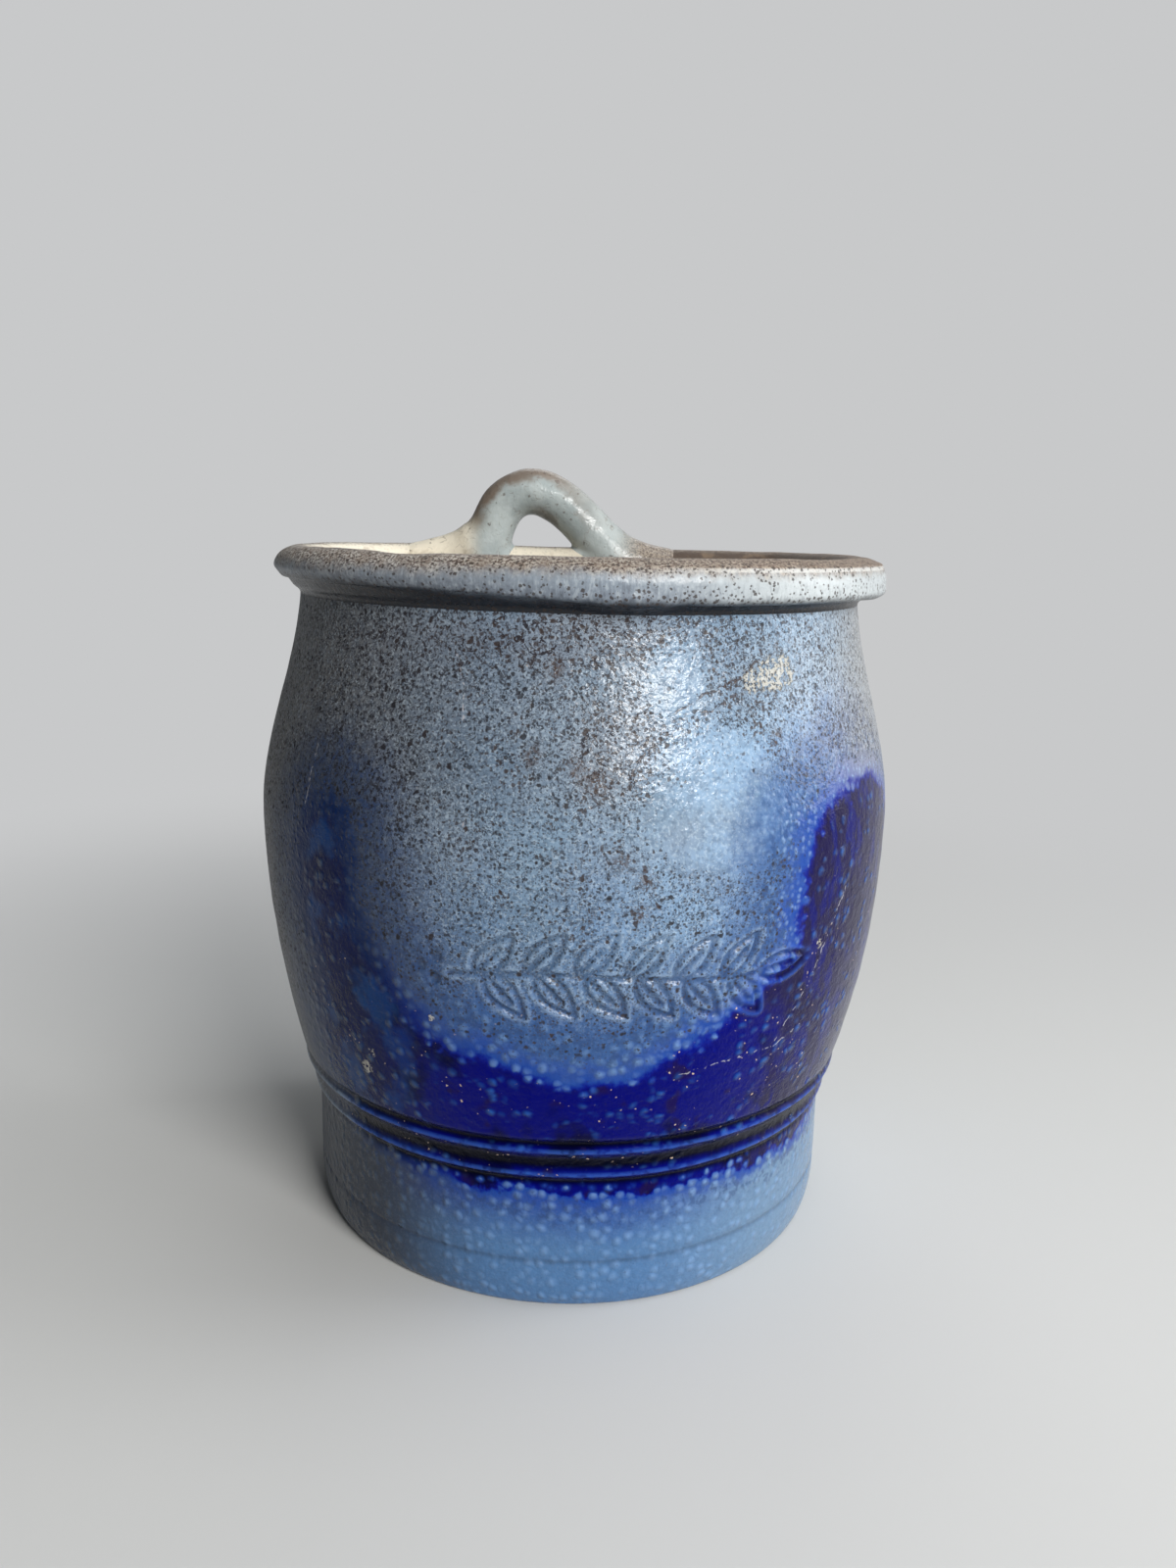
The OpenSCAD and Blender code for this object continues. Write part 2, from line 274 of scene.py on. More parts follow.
def sprig(arc, z):
    """Depth of the sprig's strokes and height of the lips beside them, at points of the wall."""
    stroke, lip = np.zeros_like(arc), np.zeros_like(arc)
    near = (arc > SPRIG_FROM - 12) & (arc < SPRIG_TO + 18) & (abs(z - SPRIG_Z) < 16)
    if not near.any():
        return stroke, lip
    points = np.stack([arc[near], z[near]], 1)
    solid = lifted(points, 0 * points[:, 0])
    nearest = np.min([line_distance(points, line) for line in sprig_lines()], axis=0)
    nearest = np.abs(nearest + 0.18 * noise(solid, 3.0, 5))
    depth = STROKE_D * hill(nearest, 0, STROKE_W)
    for place in BERRIES:
        off = np.linalg.norm(points - place, axis=1)
        depth = np.maximum(depth, BERRY_D * (1 - smooth(off, 0.55 * BERRY_R, 1.15 * BERRY_R)))
    fading = 0.75 + 0.5 * noise(solid, 14.0, 6)
    stroke[near] = depth * np.clip(fading, 0.45, 1.1)
    lip[near] = LIP_H * hill(nearest, 1.15, 0.45)
    return stroke, lip


def relief(place, u, z):
    """Offset of the outer skin from the thrown wall, with how deep it lies in a groove or stroke and how far
    it stands on a ridge or lip, both from 0 to about 1."""
    arc, solid = arc_of(place), lifted(place, z)
    turned = smooth(1 - np.abs(u), 0.004, 0.03)
    rings = noise(solid * RING_STRETCH, 5.5, 2)
    offset = uneven(solid) + 0.07 * rings * smooth(z, 44, 52)
    wavy_z = z + 0.25 * noise(solid * (1, 1, 0), 30, 4)
    band = np.interp(wavy_z, SECTION_Z, SECTION_OFFSET) * turned
    stroke, lip = sprig(arc, z)
    offset = offset * smooth(z, -1, 6) + band - stroke + lip
    offset += neck_smear(arc, z) * turned
    from_seam = (np.abs(u) - 1) * np.where(np.abs(u) < 1, *SEAM_UNITS)
    offset -= SEAM_D * hill(from_seam, 0, SEAM_W) * (0.8 + 0.4 * noise(solid, 9, 7))
    pool = np.clip(-band / GROOVE_D, 0, 1) + 0.62 * np.clip(stroke / STROKE_D, 0, 1.5)
    crest = np.clip(band / RIDGE_H, 0, 1) + 0.55 * np.clip(lip / LIP_H, 0, 1)
    return offset, pool, crest


def outer_skin(u, z):
    """The pot's outer face at outline places u and heights z, with its marks."""
    place, out = outline(u, body_r(z), corner_at(z), 0)
    offset, pool, crest = relief(place, u, z)
    return lifted(place + offset[..., None] * out, z), {"pool": pool, "crest": crest}


def inner_skin(u, z):
    place, out = outline(u, body_r(z), corner_at(z), wall_at(z))
    free = smooth(z, FLOOR_T, FLOOR_T + 6) * smooth(NECK_Z - z, 0, 6)
    offset = 0.22 * noise(lifted(place, z) * RING_STRETCH, 7, 8) * free
    return lifted(place + offset[..., None] * out, z)


# ---- The cobalt swag ----

# Its outline, as (degrees from the front, height): down inside the U, then round its outer side
SWAG = [
    (55, 121.5), (47, 118), (40, 111), (38, 98), (37, 86), (30, 76), (24, 71), (17, 66), (8, 60), (-3, 61),
    (-12, 65), (-20, 67), (-26, 72), (-31, 82), (-35, 90), (-37, 103), (-40, 113), (-46, 112), (-50, 100),
    (-49, 86), (-46, 78), (-47, 68), (-47, 52), (-43, 42), (-45, 34), (-34, 31), (-19, 29), (5, 28.8),
    (30, 28.4), (60, 28.6), (78, 33), (85, 50), (84, 80), (78, 102), (71, 114), (63, 120)]


def rounded(polygon, steps=4):
    """A closed polygon drawn through with a smooth curve."""
    p0, p1, p2, p3 = (np.roll(polygon, k, axis=0)[:, None] for k in (1, 0, -1, -2))
    t = np.linspace(0, 1, steps, endpoint=False)[None, :, None]
    curve = 0.5 * (2 * p1 + (p2 - p0) * t + (2 * p0 - 5 * p1 + 4 * p2 - p3) * t ** 2
                   + (3 * p1 - p0 - 3 * p2 + p3) * t ** 3)
    return curve.reshape(-1, 2)


SWAG_EDGE = rounded(np.array([(GIRTH_R * math.radians(a), z) for a, z in SWAG]))

# Where the iron specks crowd, as (arc, height, half width, half height, strength)
SPECK_CROWDS = [
    (10, 131, 12, 10, 0.9), (2, 153, 26, 5, 0.9), (-15, 150, 60, 10, 0.35), (38, 141, 16, 9, 0.35),
    (-45, 130, 22, 30, 0.2)]
SPECK_GAPS = [(32, 116, 20, 11, 1.0), (22, 144, 7, 8, 0.9), (30, 129, 14, 5, 0.8), (64, 112, 14, 14, 0.5)]

# Brown smudges and pale crusts, as (arc, height, radius)
STAINS = [
    (15, 105, 2.0), (10, 109, 2.2), (14, 98, 1.8), (46, 132, 1.8), (-4, 146, 2.2), (5, 124, 2.6),
    (1, 127, 2.0), (-8, 129, 2.0), (-40, 66, 2.4), (-30, 44, 2.0), (30, 55, 2.6), (62, 88, 2.4)]
CRUSTS = [
    (50, 145, 3.4), (45.2, 144.6, 3.0), (40.5, 143.5, 2.4), (-49.5, 54.5, 1.7), (59, 85, 1.1),
    (-47, 59, 1.0), (-29, 72, 0.8)]


def wall_marks(points):
    """The wall's marks at its points: the arc from the front, how far each lies inside the swag, how thick
    the specks lie there, and where it is stained or crusted."""
    arc, z = arc_of(points), points[:, 2]
    cobalt = inside_distance(np.stack([arc, z], 1), SWAG_EDGE)
    behind = smooth(points[:, 1], 8, 40)
    specks = 0.62 * smooth(z, 58 - 24 * behind, 80 + 44 * behind)
    for *place, strength in SPECK_CROWDS:
        specks = specks + strength * mound(arc, z, *place)
    for at, height, half_w, half_h, strength in SPECK_GAPS:
        away = np.hypot((arc - at) / half_w, (z - height) / half_h)
        specks = specks * (1 - strength * smooth(1.25 - away, 0, 0.6))
    stain, crust = (sum(hill(np.hypot(arc - at, z - height), 0, radius) for at, height, radius in spots)
                    for spots in (STAINS, CRUSTS))
    return {"arc": arc, "cobalt": cobalt, "specks": specks, "stain": stain, "crust": crust}


# ---- Meshes ----

def grid_faces(rows, cols, first=0, wrap=False):
    across = cols if wrap else cols - 1
    i, j = np.meshgrid(np.arange(rows - 1), np.arange(across), indexing="ij")
    k = (j + 1) % cols
    corners = [i * cols + j, i * cols + k, (i + 1) * cols + k, (i + 1) * cols + j]
    return (first + np.stack(corners, -1).reshape(-1, 4)).tolist()


def zip_strip(a, b, at_a, at_b):
    """Triangles between two lines of vertices that run side by side, matched by their places along them."""
    faces, i, j = [], 0, 0
    while i < len(a) - 1 or j < len(b) - 1:
        if j == len(b) - 1 or (i < len(a) - 1 and at_a[i + 1] <= at_b[j + 1]):
            faces.append((a[i], a[i + 1], b[j]))
            i += 1
        else:
            faces.append((a[i], b[j + 1], b[j]))
            j += 1
    return faces


def shell(outer, inner, outer_at, inner_at):
    """A closed shell between an outer and an inner grid of points, whose rows and columns stand at the
    places in outer_at and inner_at. Its last number is how many faces lie on the two grids."""
    faces = grid_faces(*outer.shape[:2]) + grid_faces(*inner.shape[:2], first=outer[..., 0].size)
    skin_count = len(faces)
    a = np.arange(outer[..., 0].size).reshape(outer.shape[:2])
    b = a.size + np.arange(inner[..., 0].size).reshape(inner.shape[:2])
    for edge in (0, -1):
        faces += zip_strip(a[edge], b[edge], outer_at[1], inner_at[1])
        faces += zip_strip(a[:, edge], b[:, edge], outer_at[0], inner_at[0])
    return np.concatenate([outer.reshape(-1, 3), inner.reshape(-1, 3)]), faces, skin_count


SHARP_ANGLE = math.radians(55)


def add_object(name, data):
    obj = bpy.data.objects.new(name, data)
    bpy.context.scene.collection.objects.link(obj)
    return obj


def piece(name, node, slot, points, faces, marks, materials, material_of=0):
    """A closed piece that stands for a CAD node. marks are its vertex values by name, and material_of says
    which of the materials each face has."""
    mesh = bpy.data.meshes.new(name)
    mesh.from_pydata((np.asarray(points) * MM).tolist(), [], faces)
    for key, values in marks.items():
        layer = mesh.attributes.new(key, "FLOAT", "POINT")
        layer.data.foreach_set("value", np.asarray(values, np.float32).ravel())
    for material in materials:
        mesh.materials.append(material)
    mesh.polygons.foreach_set("material_index", np.zeros(len(faces), np.int32) + material_of)
    work = bmesh.new()
    work.from_mesh(mesh)
    bmesh.ops.recalc_face_normals(work, faces=work.faces)
    work.to_mesh(mesh)
    work.free()
    mesh.shade_smooth()
    mesh.set_sharp_from_angle(angle=SHARP_ANGLE)
    obj = add_object(name, mesh)
    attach(obj, "root")
    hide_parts(node)


# Thin rows beside each border keep the shading even across the joint between two pieces
HAIR = 0.05

# A unit of u is about this long round the barrel, and this long just behind it
BARREL_UNIT, BACK_UNIT = 156.0, 14.0


def wall_rows():
    return stations(FLOOR_T, (FLOOR_T + HAIR, HAIR), (11, 0.8), (13, 0.35), (29.5, 1.2), (45.5, 0.45),
                    (70, 1.15), (97, 0.45), (NECK_Z - HAIR, 1.15), (NECK_Z, HAIR))


def barrel_columns():
    edge = 1 - HAIR / BARREL_UNIT
    fine, coarse = 0.42 / BARREL_UNIT, 1.35 / BARREL_UNIT
    return stations(-1, (-edge, 1), (-0.23, coarse), (0.36, fine), (edge, coarse), (1, 1))


def build_wall(name, node, slot, u, inner_u, at, inner_at, materials):
    """A wall from the floor to the neck, with columns at places u outside and inner_u inside. at and
    inner_at grow along them, so that the two can be matched."""
    rows, inner_rows = wall_rows(), stations(FLOOR_T, (16, 0.9), (NECK_Z, 1.8))
    outer, marks = outer_skin(*np.meshgrid(u, rows))
    inner = inner_skin(*np.meshgrid(inner_u, inner_rows))
    points, faces, skin_count = shell(outer, inner, (rows, at), (inner_rows, inner_at))
    inner_zeros = np.zeros(inner[..., 0].size)
    marks = {key: np.concatenate([value.ravel(), inner_zeros]) for key, value in marks.items()}
    marks.update(wall_marks(points))
    material_of = np.zeros(len(faces), np.int32)
    material_of[(len(rows) - 1) * (len(u) - 1):skin_count] = 1
    piece(name, node, slot, points, faces, marks, materials, material_of)


def build_barrel(materials):
    u = barrel_columns()
    inner_u = stations(-1, (1, 2.2 / BARREL_UNIT))
    build_wall("barrel_wall_glazed", "barrel_wall", "body_glaze", u, inner_u, u, inner_u, materials)


def round_back(w):
    """Places u on the outline for w from 0 in front to 8 there again, by the right side and the back."""
    return np.where(w <= 4, w, w - 8)


def round_pot(barrel, side, corner, back):
    """Places w for round_back all round the pot, by these steps on the barrel, sides, corners and back."""
    right_half = [(1, barrel), (2, side), (3, corner)]
    return stations(0, *right_half, (5, back), (6, corner), (7, side), (8, barrel))[:-1]


def build_back(materials):
    hair = HAIR / BACK_UNIT
    w = stations(1, (1 + hair, 1), (2, 0.12), (3, 0.055), (5, 0.024), (6, 0.055), (7 - hair, 0.12), (7, 1))
    inner_w = stations(1, (2, 0.25), (3, 0.14), (5, 0.05), (6, 0.14), (7, 0.25))
    build_wall("flat_back_glazed", "flat_back", "back_glaze", round_back(w), round_back(inner_w), w, inner_w,
               materials)


SLAB_CENTRE = np.array([0.0, -8.0])

# The rings of the slab's two faces, as shares of the way from their middle to their edge
SLAB_SHARES = stations(1, (0.97, 0.006), (0.12, 0.016))[1:]


def disc(edge, height_at):
    """Rings that fill one face of the slab, from its edge inwards."""
    flat = SLAB_CENTRE + SLAB_SHARES[:, None, None] * (edge[None, :, :2] - SLAB_CENTRE)
    return lifted(flat, height_at(flat))


def under_z(flat):
    """The wire-cut underside, hollowed a little inside its edge."""
    x, y = flat[..., 0], flat[..., 1]
    cuts = noise(np.stack([x * 0.06, y + 0.004 * x ** 2, 0 * x], -1), 2.6, 12)
    inset = smooth(1 - SLAB_SHARES, 0.01, 0.06)[:, None]
    return inset * (0.32 + 0.16 * cuts + 0.1 * noise(lifted(flat, 0 * x), 20, 13))


def top_z(flat):
    """The thrown floor, with the spiral that a finger left."""
    away = np.linalg.norm(flat, axis=-1)
    spiral = np.sin(2 * np.pi * away / 7.5 + np.arctan2(flat[..., 1], flat[..., 0]))
    return FLOOR_T - 0.22 * (0.5 + 0.5 * spiral) * smooth(62 - away, 0, 8)


def build_slab(materials):
    """The floor: its rounded edge, its underside and its upper face."""
    w = round_pot(0.0075, 0.1, 0.05, 0.024)
    heights = stations(0, (2.0, 0.25), (FLOOR_T - HAIR, 0.75), (FLOOR_T, 1))
    side, marks = outer_skin(*np.meshgrid(round_back(w), heights))
    under, top = disc(side[0], under_z)[::-1], disc(side[-1], top_z)
    rings, cols = np.concatenate([under, side, top]), len(w)
    last = (len(rings) - 1) * cols
    faces = grid_faces(len(rings), cols, wrap=True)
    faces += [(last + cols, (j + 1) % cols, j) for j in range(cols)]
    faces += [(last + cols + 1, last + j, last + (j + 1) % cols) for j in range(cols)]
    middles = [[*SLAB_CENTRE, under[0, :, 2].mean()], [*SLAB_CENTRE, top[-1, :, 2].mean()]]
    points = np.concatenate([rings.reshape(-1, 3), middles])
    values = wall_marks(points)
    for key, value in marks.items():
        full = np.zeros(rings.shape[:2])
        full[len(under):len(under) + len(side)] = value
        values[key] = np.append(full.ravel(), [0, 0])
    material_of = np.zeros(len(faces), np.int32)
    material_of[:len(under) * cols] = 2
    material_of[(len(under) + len(side) - 1) * cols:] = 1
    material_of[-2 * cols:-cols] = 2
    piece("floor_slab_glazed", "floor_slab", "foot_glaze", points, faces, values, materials, material_of)


# ---- The rolled rim ----

# How far the roll's lower edge is drawn in on the left of the pot
ROUND_LIP_IN = 2.6


def arc_points(cx, cz, rx, rz, start, end, count):
    a = np.radians(np.linspace(start, end, count))
    return np.stack([cx + rx * np.cos(a), cz + rz * np.sin(a)], 1)


def rim_section():
    """The rim's section as (radius, height), from the neck out, over the crest and down inside, closed."""
    hollow_w, hollow_h = RIM_R - UNDER_ROUND - NECK_R, BODY_H - ROLL_H - NECK_Z
    fillet = arc_points(RIM_R - UNDER_ROUND, NECK_Z, hollow_w, hollow_h, 180, 90, 11)
    under_middle = BODY_H - ROLL_H + UNDER_ROUND
    under = arc_points(RIM_R - UNDER_ROUND, under_middle, UNDER_ROUND, UNDER_ROUND, -90, 0, 7)
    outer = arc_points(RIM_R - CREST_IN, BODY_H - OUTER_ROUND, CREST_IN, OUTER_ROUND, 0, 90, 20)
    inner = arc_points(RIM_R - CREST_IN, BODY_H - INNER_ROUND, ROLL_W - CREST_IN, INNER_ROUND, 90, 180, 14)
    side = np.linspace(inner[-1], (NECK_R - WALL_T, NECK_Z), 8)
    foot = np.linspace(side[-1], fillet[0], 5)[:-1]
    face = np.linspace(under[-1], outer[0], 5)[1:-1]
    return np.concatenate([fillet[:1], [[NECK_R, NECK_Z + HAIR]], fillet[1:], under[1:], face, outer,
                           inner[1:], side[1:], foot[1:]])


def rim_wobble(points):
    """The slow wobble of the roll, which the loop's clay follows too."""
    return 0.28 * noise(points, 34, 20)


def rim_relief(solid, section):
    """Offset of the rim's skin along its section's own direction, and how far each point lies inside."""
    arc, r, z = arc_of(solid), section[..., 0], section[..., 1]
    free = smooth(z, NECK_Z, NECK_Z + 2.5)
    wobble = rim_wobble(solid) + 0.10 * noise(solid, 8, 21)
    crisp = smooth(solid[..., 0], -25, 35) * (solid[..., 1] < 30)
    shoulder = mound(r, z, 74.0, 166.4, 1.1, 1.3)
    drawn_in = ROUND_LIP_IN * smooth(-solid[..., 0], -15, 50) * smooth(163.8 - z, 0, 4.6)
    drawn_in = drawn_in * smooth(r, 70.2, 73.5)
    dip = 0.6 * hill(arc, -41, 9) * smooth(z, 165, 167.5)
    nick = 0.5 * mound(arc, z, 21, 160.0, 3.5, 1.5)
    wavy_lip = 0.35 * noise(solid * (1, 1, 0), 18, 22) * hill(z, 160.2, 1.3)
    roll = wobble + 0.45 * crisp * shoulder + wavy_lip - nick - drawn_in - dip
    offset = free * roll + (1 - free) * uneven(solid) + neck_smear(arc, z)
    return offset, smooth(RIM_R - CREST_IN - 1.5 - r, -1.0, 2.0)


def build_rim(material):
    section = rim_section()
    w = round_pot(0.0062, 0.08, 0.045, 0.02)
    uu, rr = np.meshgrid(round_back(w), section[:, 0])
    zz = np.broadcast_to(section[:, 1:], rr.shape)
    place, out = outline(uu, np.full_like(uu, RIM_R), np.full_like(uu, CORNER_R), RIM_R - rr)
    solid = lifted(place, zz)
    way = np.roll(section, -1, axis=0) - np.roll(section, 1, axis=0)
    lift = np.stack([way[:, 1], -way[:, 0]], 1) / np.linalg.norm(way, axis=1)[:, None]
    lift[section[:, 1] <= NECK_Z + HAIR] = (1, 0)
    offset, inner = rim_relief(solid, np.stack([rr, zz], -1))
    offset[(section[:, 1] <= NECK_Z + HAIR) & (section[:, 0] < NECK_R)] = 0
    solid[..., :2] += (offset * lift[:, :1])[..., None] * out
    solid[..., 2] += offset * lift[:, 1:]
    points = solid.reshape(-1, 3)
    faces = [tuple(v % len(points) for v in face) for face in grid_faces(len(section) + 1, len(w), wrap=True)]
    piece("rolled_rim_glazed", "rolled_rim", "rim_glaze", points, faces, {"inner": inner}, [material])


# ---- The loop and its roots, one lump of clay that is cut into three pieces ----

# The field of voxels from corner to corner, and the height below which it holds no clay
VOXEL = 0.45
CLAY_LOW, CLAY_HIGH = np.array([-78.0, 31.0, 160.5]), np.array([40.0, 52.0, 192.0])
CLAY_FLOOR = 163.2

# Clay smeared from each leg along the rim: two ends as (x, height, radius)
LEFT_SMEAR = ((-32.5, 167.0, 6.2), (-45.4, 163.4, 4.2))
RIGHT_SMEAR = ((9.5, 166.4, 4.9), (22.0, 163.2, 4.3))
SMEAR_Y = 41.6

# Cuts between the loop and its roots: a place (x, z) and a slope. Points this close become one there.
LEFT_CUT, RIGHT_CUT = ((-30.0, 173.0), -0.5), ((0.0, 166.5), 0.25)
WELD = 0.006


def cubic(t, a, b, c, d):
    t = t[:, None]
    return a * (1 - t) ** 3 + 3 * b * t * (1 - t) ** 2 + 3 * c * t ** 2 * (1 - t) + d * t ** 3


def loop_line():
    """The middle line of the strand in the plane of the loop, from below the left foot to below the right."""
    left, right = np.array([LEFT_FOOT_X, BODY_H]), np.array([RIGHT_FOOT_X, BODY_H])
    apex, level = np.array([APEX_X, BODY_H + LOOP_RISE]), np.array([0.5 * LOOP_RISE, 0])
    left_way = np.array([math.sin(LEFT_LEAN), math.cos(LEFT_LEAN)])
    right_way = np.array([-math.sin(RIGHT_LEAN), math.cos(RIGHT_LEAN)])
    t = np.linspace(0, 1, 18)
    rise = cubic(t, left, left + 0.55 * LOOP_RISE * left_way, apex - level, apex)
    fall = cubic(t, apex, apex + level, right + 0.63 * LOOP_RISE * right_way, right)
    return np.concatenate([[left - 6 * left_way], rise, fall[1:], [right - 6 * right_way]])


def blend_min(a, b, width):
    """The smaller of two distances, eased over where they are alike."""
    h = np.clip(0.5 + 0.5 * (b - a) / width, 0, 1)
    return b * (1 - h) + a * h - width * h * (1 - h)


def tapered(points, start, end):
    """Distance to a rod whose radius changes from start to end, each (x, height, radius)."""
    a, b = (np.array([e[0], SMEAR_Y, e[1]]) for e in (start, end))
    along = np.clip(((points - a) @ (b - a)) / ((b - a) @ (b - a)), 0, 1)
    away = np.linalg.norm(points - a - along[..., None] * (b - a), axis=-1)
    return away - (start[2] + along * (end[2] - start[2]))


def clay_field():
    """Signed distance to the loop's clay on a grid of voxels, negative inside."""
    counts = np.ceil((CLAY_HIGH - CLAY_LOW) / VOXEL).astype(int)
    axes = [CLAY_LOW[k] + VOXEL * np.arange(counts[k]) for k in range(3)]
    points = np.stack(np.meshgrid(*axes, indexing="ij"), -1)
    plane = points[:, 0][..., [0, 2]].reshape(-1, 2)
    from_line = line_distance(plane, loop_line()).reshape(counts[0], 1, counts[2])
    strand = np.hypot(from_line, points[..., 1] - LOOP_Y) - STRAND_R
    across = points[0][..., [1, 2]].reshape(-1, 2) + (RIM_R - BACK_Y, 0)
    rim = -inside_distance(across, rim_section()).reshape(1, counts[1], counts[2]) - rim_wobble(points)
    strand = strand - 0.22 * noise(points, 9, 30) - 0.10 * noise(points, 3.5, 31)
    left, right = tapered(points, *LEFT_SMEAR), tapered(points, *RIGHT_SMEAR)
    clay = blend_min(blend_min(strand, left - 0.25 * noise(points, 7, 32), 5.0), right, 5.0)
    reach = np.minimum(strand, np.minimum(left, right))
    outer_side = smooth(np.abs(points[..., 0] + 11), 12, 20)
    field = blend_min(clay, rim, 1.6 + 2.4 * outer_side) + 0.45 * smooth(reach, 0.4, 2.6)
    field = np.maximum(field, reach - 5.0)
    return np.maximum(field, CLAY_FLOOR - points[..., 2])


def clay_lump():
    grid = openvdb.FloatGrid()
    grid.background = 5.0
    field = np.clip(clay_field(), -5, 5)
    grid.copyFromArray(np.ascontiguousarray(field))
    points, quads = grid.convertToQuads()
    lump = bmesh.new()
    vertices = [lump.verts.new((CLAY_LOW + VOXEL * p) * MM) for p in points]
    for quad in quads:
        lump.faces.new([vertices[k] for k in quad])
    return lump


def cut_away(lump, cut, keep_above):
    """A copy of the lump on one side of a cut, closed there, with a thin row of faces beside the cut."""
    (x, z), slope = cut
    up = Vector((-slope, 0, 1)).normalized()
    part = lump.copy()
    for gap in (HAIR, 0):
        side = gap * MM if keep_above else -gap * MM
        bmesh.ops.bisect_plane(part, geom=part.verts[:] + part.edges[:] + part.faces[:], dist=1e-7,
                               plane_co=Vector((x, 0, z)) * MM + side * up, plane_no=up,
                               clear_inner=keep_above and not gap, clear_outer=not keep_above and not gap)
    bmesh.ops.remove_doubles(part, verts=part.verts[:], dist=WELD * MM)
    bmesh.ops.holes_fill(part, edges=part.edges[:], sides=0)
    return part


def clay_piece(name, node, slot, part, material):
    part.verts.index_update()
    points = np.array([v.co for v in part.verts]) / MM
    faces = [[v.index for v in f.verts] for f in part.faces]
    part.free()
    piece(name, node, slot, points, faces, {}, [material])


def build_loop(loop_material, root_material):
    lump = clay_lump()
    above_left = cut_away(lump, LEFT_CUT, True)
    for node, slot, part, material in (
            ("hanging_loop", "loop_glaze", cut_away(above_left, RIGHT_CUT, True), loop_material),
            ("loop_root_left", "root_clay", cut_away(lump, LEFT_CUT, False), root_material),
            ("loop_root_right", "root_clay", cut_away(lump, RIGHT_CUT, False), root_material)):
        clay_piece(node + "_clay", node, slot, part, material)
    above_left.free()
    lump.free()


# ---- Materials ----

# Salt glaze shines less than window glass does, at 0.5
GLAZE_SPECULAR = 0.34
LOOP_MIDDLE = (-14.0, 0.0, 172.0)


def srgb(red, green, blue):
    """A linear colour from one written in 0 to 255."""
    linear = [c / 255 / 12.92 if c <= 10 else ((c / 255 + 0.055) / 1.055) ** 2.4 for c in (red, green, blue)]
    return (*linear, 1.0)


class Value:
    """A number, vector or colour in a node tree. Sums and products of numbers there are nodes too."""

    def __init__(self, paint, socket):
        self.paint, self.socket = paint, socket

    def __add__(self, other):
        return self.paint.math("ADD", self, other)

    def __sub__(self, other):
        return self.paint.math("SUBTRACT", self, other)

    def __rsub__(self, other):
        return self.paint.math("SUBTRACT", other, self)

    def __mul__(self, other):
        return self.paint.math("MULTIPLY", self, other)

    __radd__, __rmul__ = __add__, __mul__


class Paint:
    """Short calls for the nodes of a new material or world. A material's lengths are in millimetres."""

    def __init__(self, name, kind=bpy.data.materials, coordinates="Object", unit=MM):
        self.owner = kind.new(name)
        self.owner.use_nodes = True
        self.tree = self.owner.node_tree
        self.tree.nodes.clear()
        self.place = self.vector("SCALE", self.node("TexCoord", out=coordinates), scale=1 / unit)
        self.xyz = self.parts("XYZ", self.place)

    def node(self, kind, inputs=(), out=0, **settings):
        """One output of a new node. Its inputs are given in order, or as a dict by their places or names."""
        new = self.tree.nodes.new("ShaderNode" + kind)
        for key, value in settings.items():
            setattr(new, key, value)
        for key, value in inputs.items() if isinstance(inputs, dict) else enumerate(inputs):
            if isinstance(value, Value):
                self.tree.links.new(value.socket, new.inputs[key])
            else:
                new.inputs[key].default_value = value
        return Value(self, new.outputs[out]) if new.outputs else None

    def parts(self, kind, value):
        """The three numbers in a vector (XYZ) or a colour (Color)."""
        first = self.node("Separate" + kind, (value,))
        return [Value(self, part) for part in first.socket.node.outputs]

    def mark(self, name):
        return self.node("Attribute", out="Fac", attribute_name=name)

    def math(self, operation, a, b=0.0, clamp=False):
        return self.node("Math", (a, b), operation=operation, use_clamp=clamp)

    def vector(self, operation, a, b=(0, 0, 0), scale=1.0):
        out = "Value" if operation in ("DOT_PRODUCT", "LENGTH", "DISTANCE") else "Vector"
        return self.node("VectorMath", (a, b, (0, 0, 0), scale), out, operation=operation)

    def stretched(self, x, y, z):
        return self.vector("MULTIPLY", self.place, (x, y, z))

    def cloud(self, size, detail=3.0, rough=0.55, where=None, bend=0.0, out=0):
        """Noise from 0 to 1 with features of about size."""
        inputs = {"Vector": where or self.place, "Scale": 1 / size, "Detail": detail, "Roughness": rough}
        return self.node("TexNoise", {**inputs, "Distortion": bend}, out)

    def warped(self, size, amount, shift=(0, 0, 0)):
        """The place, pushed about by noise, so that cells lose their even shapes, and shifted."""
        push = self.vector("SUBTRACT", self.cloud(size, 2.0, 0.5, out="Color"), (0.5, 0.5, 0.5))
        moved = self.vector("ADD", self.vector("SCALE", push, scale=amount), self.place)
        return self.vector("ADD", moved, shift)

    def cells(self, size, where, random=1.0):
        """Distance from the nearest cell centre, in cell sizes, and three random numbers for each cell."""
        inputs = {"Vector": where, "Scale": 1 / size, "Randomness": random}
        distance = self.node("TexVoronoi", inputs, "Distance")
        return distance, self.parts("Color", Value(self, distance.socket.node.outputs["Color"]))

    def finish(self, colour, rough, height, tint=(1, 1, 1, 1)):
        """The finished material. Its height is in millimetres, and tint is its gloss's colour."""
        normal = self.node("Bump", {"Distance": MM, "Height": height})
        gloss = {"Roughness": rough, "Specular IOR Level": GLAZE_SPECULAR, "Specular Tint": tint}
        return self.show(self.node("BsdfPrincipled", {"Base Color": colour, "Normal": normal, **gloss}))

    def show(self, shader, kind="Material"):
        self.node("Output" + kind, {"Surface": shader})
        return self.owner


def step(value, low, high, at_low=0.0, at_high=1.0):
    """at_low as far as low and at_high from high on, eased between them."""
    return value.paint.node("MapRange", (value, low, high, at_low, at_high), interpolation_type="SMOOTHSTEP")


